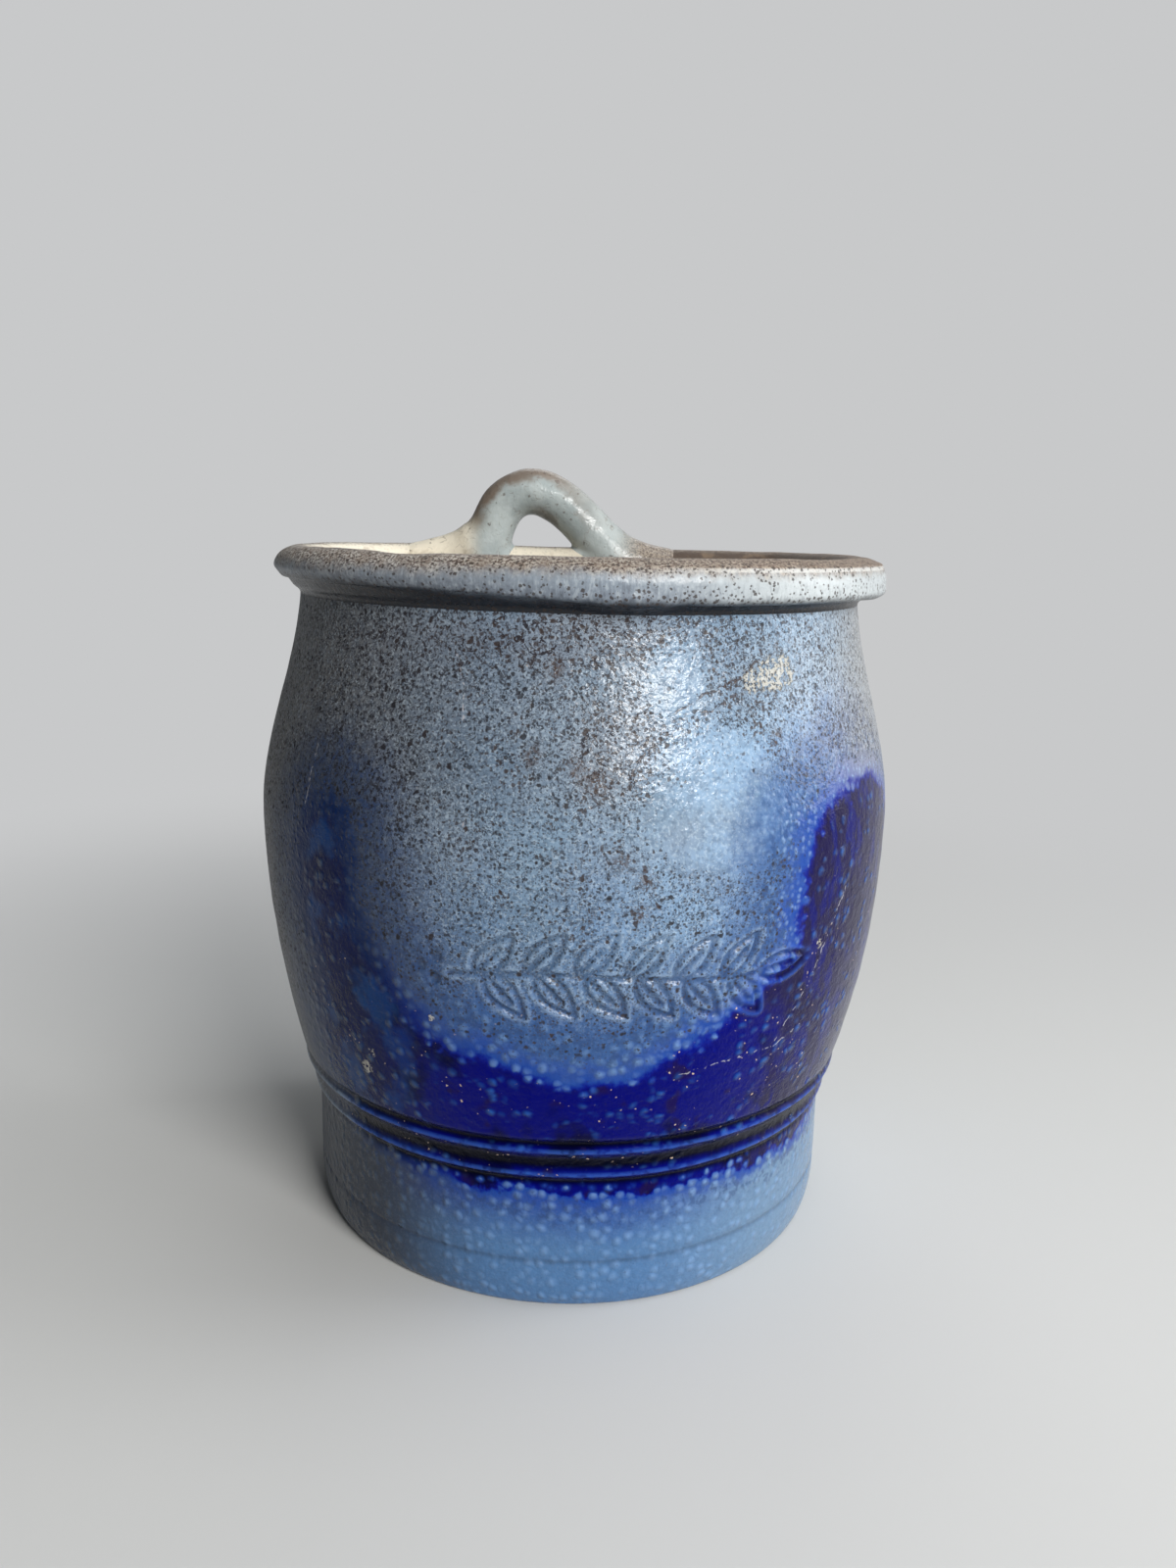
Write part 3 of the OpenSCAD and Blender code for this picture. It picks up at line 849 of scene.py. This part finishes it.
def less(value):
    """What a value lacks to 1."""
    return value.paint.math("SUBTRACT", 1.0, value, clamp=True)


def most(a, b):
    return a.paint.math("MAXIMUM", a, b)


def least(a, b):
    return a.paint.math("MINIMUM", a, b)


def mix(share, a, b):
    """From a to b as share grows from 0 to 1. A plain colour is written in 0 to 255."""
    a, b = (c if isinstance(c, Value) else srgb(*c) for c in (a, b))
    return share.paint.node("Mix", {0: share, 6: a, 7: b}, 2, data_type="RGBA")


def over(colour, *coats):
    """A colour with coats on it, each (share, colour), in turn."""
    for share, coat in coats:
        colour = mix(share, colour, coat)
    return colour


def speck_layer(paint, size, density, shift, reach):
    """Ragged spots in a share of the cells, which grows with density."""
    where = paint.warped(size * 0.8, size * 0.9, (shift, shift * 1.7, shift * 0.6))
    distance, (pick, width, _) = paint.cells(size, where)
    spot = step(distance - (width * (reach * 0.7) + reach * 0.35), -0.02, 0.12, 1.0, 0.0)
    return step(density - pick, -0.05, 0.08) * spot


def pip_layer(paint, size, share, shift, random):
    """Soft raised dots in a share of the cells."""
    distance, (pick, _, _) = paint.cells(size, paint.warped(1.5 * size, 0.6 * size, (shift,) * 3), random)
    return step(distance, 0.56, 0.0) * step(pick, 1 - share - 0.25, 1 - share + 0.25)


def craze_lines(paint, size, width, shift):
    """Short dark hairlines: stretches of the borders between cells."""
    where = paint.warped(size * 0.7, size * 1.2, (shift, -shift, 1.3 * shift))
    inputs = {"Vector": where, "Scale": 1 / size}
    border = paint.node("TexVoronoi", inputs, "Distance", feature="DISTANCE_TO_EDGE")
    return step(border, width, width * 0.3) * step(paint.cloud(size * 0.8, 1.0), 0.52, 0.6)


def drawn_lines(paint, flat, lines, width):
    """1 on lines drawn through points of the wall, as (arc, height), and 0 beside them."""
    found = 0.0
    for a, b in (ends for line in lines for ends in zip(line[:-1], line[1:])):
        way = (b[0] - a[0], b[1] - a[1], 0)
        off = paint.vector("SUBTRACT", flat, (*a, 0))
        length_2 = way[0] ** 2 + way[1] ** 2
        along = paint.math("DIVIDE", paint.vector("DOT_PRODUCT", off, way), length_2, clamp=True)
        away = paint.vector("DISTANCE", off, paint.vector("SCALE", way, scale=along))
        found = paint.math("MAXIMUM", found, step(away, width, 0.35 * width))
    return found


# Scratches and kiln marks on the wall, as points (arc, height)
PALE_SCRATCHES = [
    [(-26.1, 148), (-23.6, 142), (-23.2, 135.3)], [(67, 96.4), (60.4, 83.4), (56.2, 74.5), (49.2, 64.2)],
    [(24, 60), (36, 61.9), (49.7, 62.6), (57, 66)], [(-62, 128), (-64, 112)], [(-20, 121), (-21, 114)]]
BROWN_MARKS = [
    [(19.7, 137), (28, 141), (38, 144.5), (43.4, 148)], [(21, 136), (30, 138), (36, 141)],
    [(10.9, 123.3), (13, 128.4), (15.4, 130.8)], [(14, 110), (15, 103), (18, 99)], [(6, 112), (8, 107.5)]]


def clear_glaze(paint, low):
    """The clear grey-blue glaze: greyer at the neck, bluer below, pale down the foot. Painted shade darkens
    it on the left, and a painted reflection pales it right of the front.
    """
    (x, y, z), cloud = paint.xyz, paint.cloud
    # Painted shade: a darker, greyer patch high on the left of the front
    painted_shade = step(x, 12, -24) * step(z, 108, 126) * step(z, 158, 150)
    # Painted reflection: a paler, bluer patch right of the front, below the shoulder
    field = step(x, 0, 26) * step(cloud(16, 2.0), 0.3, 0.6) * step(z, 144, 128, 0.25, 0.8)
    deeper = step(z, 110, 72, 0.0, 0.62) * step(y, 20, -20)
    glaze = over(
        mix(step(z + cloud(18) * 16.0, 88, 140), (96, 130, 168), (140, 154, 168)),
        (step(cloud(24, 2.0), 0.35, 0.7), (118, 142, 164)), (painted_shade * 0.55, (86, 102, 122)),
        (field, (138, 168, 198)), (deeper, (60, 94, 138)),
        # Painted shade on a grey-brown glaze: darker towards the pot's left side
        (step(x, -10, -54, 0.0, 0.86), (104, 102, 100)), (step(x, -56, -76, 0.0, 0.8), (88, 84, 80)))
    band = over(
        mix(step(z + cloud(9) * 8.0, 34, 18), (20, 62, 142), (76, 116, 162)),
        # Painted light and shade: the band is paler on the right and darker on the left
        (step(x, 12, 52), (104, 134, 164)), (step(x, -14, -46), (50, 57, 70)),
        (step(y, 16, 40), (86, 104, 126)))
    return mix(low, glaze, band)


def cobalt_colour(paint, ragged):
    """Deep ultramarine, mottled nearly black. On the right arm a painted reflection turns it purple with
    bright streaks, and on the left it is painted darker and duller, as shade.
    """
    x, cloud = paint.xyz[0], paint.cloud
    mottle = step(cloud(13, where=paint.warped(20, 10)), 0.48, 0.66)
    # Painted reflection: purple with bright streaks on the right arm, near the pot's edge
    veins = step(cloud(6, where=paint.stretched(1.4, 1.4, 0.6)), 0.5, 0.62)
    arm = mix(veins, (28, 22, 58), (14, 16, 92))
    # Painted shade: darker, duller cobalt on the left
    dull = mix(step(cloud(11), 0.46, 0.62), (6, 20, 62), (18, 58, 108))
    deep = over(
        mix(mottle, (4, 8, 104), (4, 4, 52)), (step(cloud(7, 2.0), 0.6, 0.7, 0.0, 0.6), (30, 16, 44)),
        (step(x + cloud(10) * 30.0, 54, 66) * 0.9, arm), (step(x, -22, -46, 0.0, 0.9), dull))
    # Painted shade: the cobalt's edge is darker on the left too
    return mix(step(ragged, 0.5, 3.0), mix(step(x, -20, -44), (8, 22, 132), (8, 30, 76)), deep)


def with_iron(paint, glaze, ragged, inside, left):
    """The glaze with its iron: specks in three sizes, flecks, hairlines, smudges and grit. Returned with it
    are the big and the small specks."""
    z, cloud, specks = paint.xyz[2], paint.cloud, paint.mark("specks")
    clear = specks * less(step(ragged, -8.0, 0.5, 0.0, 0.97))
    crowd = clear * step(cloud(9, 2.0), 0.3, 0.7, 0.7, 1.3)
    big = speck_layer(paint, 1.8, crowd * 0.4, 3.1, 0.27)
    small = speck_layer(paint, 0.95, crowd, 7.7, 0.38)
    dust = speck_layer(paint, 0.55, crowd * 1.1, 13.9, 0.44)
    thinner = step(z, 84, 104, 0.3, 1.0)
    flecks = step(cloud(0.9, 3.0, 0.6, bend=1.4), 0.565, 0.62) * thinner * least(crowd * 1.1, 1.0)
    lines = craze_lines(paint, 1.7, 0.12, 5.0) * clear * thinner
    rusty = step(cloud(6, 2.0), 0.45, 0.62) * less(left)
    iron = mix(most(rusty, step(specks, 0.8, 1.3)), (26, 25, 31), (48, 37, 35))
    smudge = paint.mark("stain") * step(cloud(0.8, 3.0, 0.6, bend=1.2), 0.44, 0.54) * less(inside)
    gritty = inside * step(cloud(7, 2.0), 0.52, 0.66) * step(z, 96, 76) * 0.5
    grit = speck_layer(paint, 1.1, gritty, 17.0, 0.18) * step(z, 30, 38)
    glaze = over(
        glaze, (step(specks, 0.7, 1.5, 0.0, 0.35), (116, 118, 126)), (dust * 0.6, (54, 56, 66)),
        (lines * 0.8, (44, 42, 48)), (flecks * 0.78, iron), (small * 0.8, iron), (big * 0.92, iron),
        (least(smudge * 0.75, 0.75), (74, 56, 46)), (grit, (190, 168, 150)))
    return glaze, big, small


def with_marks(paint, glaze):
    """The glaze with its kiln marks, scratches and crusts. Returned with it are the marks and the crusts."""
    cloud, arc, z = paint.cloud, paint.mark("arc"), paint.xyz[2]
    flat = paint.node("CombineXYZ", (arc + (cloud(3.0) - 0.5) * 2.2, z + (cloud(2.3) - 0.5) * 2.2))
    brown_line = drawn_lines(paint, flat, BROWN_MARKS, 0.42)
    pale_line = drawn_lines(paint, flat, PALE_SCRATCHES, 0.24) * step(cloud(1.3, 2.0), 0.48, 0.56)
    crusted = step(paint.mark("crust") * step(cloud(0.9, 4.0, 0.6), 0.4, 0.58, 0.0, 1.5), 0.3, 0.75)
    glaze = over(
        glaze, (brown_line * step(cloud(1.7, 2.0), 0.42, 0.52) * 0.8, (56, 40, 34)),
        (pale_line * 0.6, (186, 184, 190)), (crusted * 0.66, (206, 201, 188)))
    return glaze, brown_line, crusted


def body_glaze():
    """The wall's glaze: clear, with the cobalt swag, raised pips, iron specks, kiln marks and crusts."""
    paint = Paint("body_glaze")
    (x, y, z), cloud = paint.xyz, paint.cloud
    cobalt, pool, crest = map(paint.mark, ("cobalt", "pool", "crest"))
    fine, grain = cloud(1.3, 2.0), cloud(0.62, 2.0)
    back, left = step(y, 16, 40), step(x, -16, -46)
    low = step(z, 33 + back * 22, 29 - back * 14)
    skin = step(fine, 0.42, 0.66, 0.0, 0.34) * step(low, 0, 1, 1, 0.4)
    grainy = step(grain, 0.5, 0.34, 0.0, 0.32) * step(low, 0, 1, 1, 0.1)
    glaze = over(clear_glaze(paint, low), (skin, (56, 74, 96)), (grainy, (190, 204, 216)))

    # The cobalt's edge is ragged and breaks up where the glaze stands in soft pips
    coarse, small_pips = pip_layer(paint, 2.8, 0.95, 3.0, 0.65), pip_layer(paint, 1.5, 0.8, 9.0, 0.85)
    ragged = cobalt + (cloud(7.0, 4.0) - 0.5) * 8.0 + (fine - 0.5) * 2.4 - coarse * 3.2
    ragged = ragged * (1.0 + low * 0.9)
    above = less(low)
    inside = step(ragged, -1.0 - left * 6.0, 1.8 + left * 2.0)
    # Painted reflection: pale grey high on the pot's right edge
    grey = step(x, 50, 68) * step(z, 110, 130) * less(back)
    glaze = over(
        # On the left the halo round the cobalt is painted darker and duller, as shade
        glaze, (step(ragged, -26.0, -8.0) * above * 0.86, mix(left, (40, 80, 138), (48, 62, 88))),
        (step(ragged, -8.0, -1.0) * 0.9, mix(left, (30, 68, 150), (14, 42, 84))),
        (grey * 0.8, (162, 163, 162)), (inside, cobalt_colour(paint, ragged)))

    # The pips are paler: coarse ones below and in patches on the cobalt, fine ones high on the right
    fringe, high = step(ragged, -22.0, -5.0) * step(ragged, 1.5, -0.5), step(z, 78, 94)
    patch = step(cloud(9, 2.0, where=paint.stretched(1, 1, 1.6)), 0.48, 0.6) * inside
    coarse = coarse * most(most(fringe * less(high), low), patch)
    open_right = step(x, 4, 30) * above * less(inside) * less(back)
    small_pips = small_pips * most(fringe * high, open_right * 0.5)
    pale = mix(inside, (124, 160, 204), (48, 98, 172))
    pip_share = (0.5 + inside * 0.22) * step(back, 0, 1, 1, 0.3)
    # The pips on the left are painted darker, as shade
    glaze = over(glaze, (coarse * pip_share, mix(left, pale, (74, 92, 116))),
                 (small_pips * 0.4 * less(left), (154, 186, 220)))

    # Cobalt pools black in the grooves and thins on the ridges
    near_swag = step(ragged, -8.0, 2.0)
    mottled = step(ragged, -20.0, -8.0) * step(ragged, 0.0, -6.0) * step(cloud(1.9, 2.0), 0.46, 0.62)
    filled = pool * step(near_swag, 0, 1, 0.75, 0.97) * step(y, 34, 10, 0.3, 1.0)
    worn = crest * step(cloud(2.4, 2.0), 0.36, 0.56, 0.3, 0.85)
    glaze = over(
        glaze, (mottled * 0.5, (32, 58, 104)),
        (least(filled, 1.0), mix(near_swag, (24, 38, 64), (0, 1, 10))),
        (worn, mix(near_swag, (150, 172, 196), (56, 98, 190))))

    glaze, big, small = with_iron(paint, glaze, ragged, inside, left)
    glaze, brown_line, crusted = with_marks(paint, glaze)
    height = (cloud(2.2, 2.0, 0.5) * 0.26 + grain * 0.09 + coarse * 0.3 + small_pips * 0.14
              + crusted * 0.25 - most(big, small) * 0.05 - brown_line * 0.1)
    rough = (0.125 + cloud(5.0) * 0.13 + big * 0.25 + small * 0.15 + crusted * 0.4
             + step(x, -44, -72) * 0.25)
    shine = mix(step(x, -30, -60), (255, 255, 255), (150, 150, 155))
    return paint.finish(glaze, rough, height, over(shine, (step(ragged, -4.0, 1.0), (40, 44, 70))))


def lip_colour(paint):
    """The thin glaze inside the rim: cream, turning brown towards the right, which is painted shadow."""
    bone = mix(step(paint.xyz[0], -10, 24), (238, 229, 209), (80, 67, 57))
    return over(bone, (step(paint.cloud(6, 4.0), 0.55, 0.72, 0.0, 0.45), (146, 124, 100)))


def rim_glaze():
    """Grey-blue on the roll's face, brown salt speckle over its top, cream at the left of the back and brown
    at its right, which is painted shadow. Painted shade darkens the roll's underside and the face's lower
    half, the face is painted paler on the right, and a painted glint runs along its top edge there."""
    paint = Paint("rim_glaze")
    (x, y, z), cloud = paint.xyz, paint.cloud
    inner, left, right = paint.mark("inner"), step(x, 5, -58), step(x, 4, 46)
    top = step(z + (cloud(3.0, 4.0) - 0.5) * 3.4, 163.4 - left, 166.8)
    # Painted shade: near-black under the roll's lower edge
    under = step(z + cloud(5.0, 2.0) * 1.6 - left * 2.6, 161.6, 159.2) * less(inner)
    streaks, grain = cloud(0.9, 3.0, 0.6, where=paint.stretched(1, 1, 0.4)), cloud(0.55, 3.0, 0.7)
    plain_right = step(right, 0, 1, 1, 0.45)
    face = over(
        # Painted light: the face is paler towards the right
        mix(right, (134, 144, 154), (180, 186, 188)),
        (left * step(cloud(14, 2.0), 0.3, 0.6), (124, 130, 138)),
        # Painted shade: the lower half of the face, which turns downwards, is darker
        (step(z, 164.5, 160.5, 0.0, 0.55) * less(right), (98, 106, 120)),
        (step(streaks, 0.5, 0.36, 0.0, 0.3) * plain_right, (190, 198, 203)),
        (step(streaks, 0.52, 0.64) * plain_right * step(z, 166, 160, 0.1, 0.6), (84, 90, 100)))
    tan = mix(left, mix(right, (164, 156, 144), (160, 146, 130)), (200, 196, 188))
    brown = over(mix(step(grain, 0.42, 0.58), (86, 68, 58), tan),
                 (step(cloud(2.6), 0.42, 0.62, 0.0, 0.55), (126, 112, 100)))
    # Painted glint: a pale line along the face's top edge at the right front
    painted_glint_edge = step(paint.math("ABSOLUTE", z - 165.9), 0.6, 0.2) * right * step(y, 20, 0)
    specks = speck_layer(paint, 0.85, 0.3 + top * 0.6 + step(z, 163.5, 159.5) * 0.7, 21.0, 0.4)
    colour = over(
        face, (top, brown), (painted_glint_edge * 0.5, (222, 224, 222)), (inner, lip_colour(paint)),
        (under, (26, 30, 38)), (specks * less(inner * 0.85) * 0.82, (50, 39, 34)))
    height = cloud(1.7, 2.0) * 0.14 + streaks * 0.08 + top * grain * 0.14
    return paint.finish(colour, 0.22 + top * 0.3 + cloud(4.0) * 0.12, height)


def inner_glaze():
    """The thin tan glaze inside the pot."""
    paint = Paint("inner_glaze")
    z, cloud = paint.xyz[2], paint.cloud
    specks = speck_layer(paint, 1.6, 0.35, 31.0, 0.36)
    colour = over(
        mix(step(cloud(30), 0.35, 0.65), (150, 132, 108), (122, 104, 84)),
        (step(cloud(5, 4.0), 0.5, 0.75), (176, 162, 140)),
        # Near the rim the inside takes the lip's colour, brown on the right as painted shadow
        (step(z + (cloud(8) - 0.5) * 22.0, 134, 156), lip_colour(paint)), (specks * 0.6, (64, 46, 34)))
    height = cloud(2.2, 2.0) * 0.14 + cloud(12.0, 2.0) * 0.3
    return paint.finish(colour, step(cloud(6.0), 0.3, 0.7, 0.24, 0.42), height)


def bare_clay():
    """The unglazed underside, toasted in places."""
    paint = Paint("bare_clay")
    cloud, specks = paint.cloud, speck_layer(paint, 1.8, 0.3, 41.0, 0.34)
    colour = over(
        mix(step(cloud(22), 0.35, 0.65), (178, 166, 146), (150, 132, 110)),
        (step(cloud(1.2), 0.5, 0.7), (128, 112, 96)), (specks * 0.7, (66, 48, 38)))
    return paint.finish(colour, 0.78, cloud(0.8, 3.0, 0.65) * 0.2 - specks * 0.1)


def loop_glaze(name):
    """Pale grey glaze on the loop, worn brown along its outside and cream at the left root."""
    paint = Paint(name)
    (x, y, z), cloud = paint.xyz, paint.cloud
    across = paint.vector("MULTIPLY", paint.vector("SUBTRACT", paint.place, LOOP_MIDDLE), (1, 0, 1))
    from_middle, grain = paint.vector("LENGTH", across), cloud(0.55, 3.0, 0.7)
    worn = step(from_middle + cloud(4.0) * 5.0, 15.4, 18.4) * step(x, 6, -12, 0.2, 1.0) * step(z, 170, 176)
    # Painted shade: darker brown along the arch's inner edge, under the loop
    shade_under_arch = step(from_middle + cloud(3.0) * 2.0, 9.2, 7.6) * step(x, -17, -10)
    cream = step(x, -27, -34) * step(z, 179, 172)
    ends = most(step(x, 7, 18), step(x, -37, -43) * step(y, 40, 45)) * step(z, 175, 170)
    foot = step(z + cloud(3.0) * 3.0, 169.5, 166.0) * step(y, 43, 46)
    specks, lines = speck_layer(paint, 1.9, 0.26, 51.0, 0.26), craze_lines(paint, 3.4, 0.05, 8.0)
    colour = over(
        mix(step(cloud(8), 0.35, 0.65), (158, 167, 167), (180, 188, 187)),
        (worn * 0.85, (112, 92, 74)), (shade_under_arch * 0.55, (96, 82, 70)), (cream, (216, 208, 190)),
        (cream * step(cloud(4.0, 4.0), 0.55, 0.7) * 0.5, (128, 104, 82)),
        (step(x, -34, -42) * step(z, 175, 170), lip_colour(paint)),
        (ends * 0.9, mix(step(grain, 0.42, 0.58), (92, 76, 64), (156, 142, 126))),
        (foot, mix(step(grain, 0.4, 0.6), (112, 118, 124), (146, 152, 158))),
        (specks * 0.6, (88, 74, 64)), (lines * 0.35, (110, 94, 80)))
    height = cloud(2.2, 2.0) * 0.2 + cloud(0.8, 2.0) * 0.06
    return paint.finish(colour, step(cloud(5.0), 0.3, 0.7, 0.18, 0.36), height)


# ---- Stage, light and camera ----

FLOOR_COLOUR, FLOOR_ROUGHNESS = srgb(206, 206, 204), 0.9
BACKDROP_COLOUR = srgb(200, 201, 202)

# The paper takes light within the first distance from the axis, and has one even tone from the second on
PAPER_LIT, PAPER_EVEN = 100, 520

# How much of the even tone the gloss shows, on the pot's left and on its right
GLOSS_LEFT, GLOSS_RIGHT = 0.2, 1.0

# The lamps: the way to each from the pot's middle, its distance, size, power and colour
POT_MIDDLE = Vector((0, 0, 0.09))
LAMPS = {
    "key_light": ((0.44, -0.77, 0.46), 1.03, (0.44, 0.26), 9.9, (1.0, 0.99, 0.97)),
    "side_light": ((0.98, 0.05, 0.35), 1.1, (0.5, 0.7), 4.4, (0.98, 0.99, 1.0)),
    "top_light": ((0.25, -0.05, 1.0), 1.2, (0.6, 0.6), 2.9, (0.97, 0.98, 1.0)),
    "back_light": ((0.0, 0.8, 0.75), 1.25, (0.7, 0.6), 2.0, (0.98, 0.99, 1.0))}
AIR_COLOUR, AIR_LEFT, AIR_RIGHT = (0.86, 0.93, 1.0, 1), 0.03, 0.36

# The view that was fitted to the photograph
CAMERA_PLACE, CAMERA_DOWN, CAMERA_ROLL = (0.00321, -0.3027, 0.17342), 12.259, 1.330
LENS, SENSOR = 27.045, 36.0


def seen_rays(paint, reach):
    """1 for the rays that show the background, from the camera and through glass, and a share in gloss that
    grows with x from -reach to reach."""
    rays = ("Is Camera Ray", "Is Glossy Ray", "Is Transmission Ray")
    camera, gloss, glass = (paint.node("LightPath", out=ray) for ray in rays)
    return most(most(camera, gloss * step(paint.xyz[0], -reach, reach, GLOSS_LEFT, GLOSS_RIGHT)), glass)


def studio_paper():
    """Pale paper: plain under the pot, where it takes the shadow, and of one even tone farther off."""
    paint = Paint("studio_paper")
    lit = paint.node("BsdfPrincipled", {"Base Color": FLOOR_COLOUR, "Roughness": FLOOR_ROUGHNESS})
    even = paint.node("Emission", {"Color": BACKDROP_COLOUR})
    far = step(paint.vector("LENGTH", paint.place), PAPER_LIT, PAPER_EVEN)
    return paint.show(paint.node("MixShader", (far * seen_rays(paint, 800), lit, even)))


def build_stage():
    """A pale floor that curves up into a backdrop."""
    half_w, front, back, bend, top = 3.0, -2.5, 1.4, 0.8, 2.6
    turn = np.radians(np.linspace(0, 90, 25))
    curve = [(back + bend * math.sin(a), bend * (1 - math.cos(a))) for a in turn]
    line = [(front, 0), *curve, (back + bend, top)]
    points = [(x, y, z) for y, z in line for x in (-half_w, half_w)]
    mesh = bpy.data.meshes.new("studio_floor")
    mesh.from_pydata(points, [], grid_faces(len(line), 2))
    mesh.materials.append(studio_paper())
    mesh.shade_smooth()
    add_object("studio_floor", mesh)


def light_scene():
    """A soft key from the right front, as the photograph's window, softer lamps at the side, above and
    behind, and air that is dimmer on the left."""
    for name, (way, distance, size, power, colour) in LAMPS.items():
        lamp = bpy.data.lights.new(name, "AREA")
        lamp.shape, lamp.size, lamp.size_y = "RECTANGLE", *size
        lamp.energy, lamp.color = power, colour
        obj, way = add_object(name, lamp), Vector(way).normalized()
        obj.location = POT_MIDDLE + distance * way
        obj.rotation_euler = way.to_track_quat("Z", "Y").to_euler()
    paint = Paint("studio_air", bpy.data.worlds, "Generated", 1.0)
    bpy.context.scene.world = paint.owner
    strength = step(paint.xyz[0], -0.7, 0.9, AIR_LEFT, AIR_RIGHT)
    air = paint.node("Background", {"Color": AIR_COLOUR, "Strength": strength})
    even = paint.node("Background", {"Color": BACKDROP_COLOUR})
    paint.show(paint.node("MixShader", (seen_rays(paint, 0.6), air, even)), "World")


def place_camera():
    """The photograph's view: its long side spans the camera's whole sensor."""
    camera = bpy.data.cameras.new("photo_camera")
    camera.lens, camera.sensor_width, camera.sensor_fit = LENS, SENSOR, "AUTO"
    camera.clip_start = 0.01
    tilt, roll = math.radians(90 - CAMERA_DOWN), math.radians(CAMERA_ROLL)
    turn = Matrix.Rotation(tilt, 4, "X") @ Matrix.Rotation(roll, 4, "Z")
    obj = add_object("photo_camera", camera)
    obj.matrix_world = Matrix.Translation(CAMERA_PLACE) @ turn
    bpy.context.scene.camera = obj


def build_pot():
    body, inside = body_glaze(), inner_glaze()
    build_barrel([body, inside])
    build_back([body, inside])
    build_slab([body, inside, bare_clay()])
    build_rim(rim_glaze())
    build_loop(loop_glaze("loop_glaze"), loop_glaze("root_clay"))


build_pot()
build_stage()
light_scene()
place_camera()
bpy.context.scene.view_settings.view_transform = "Standard"
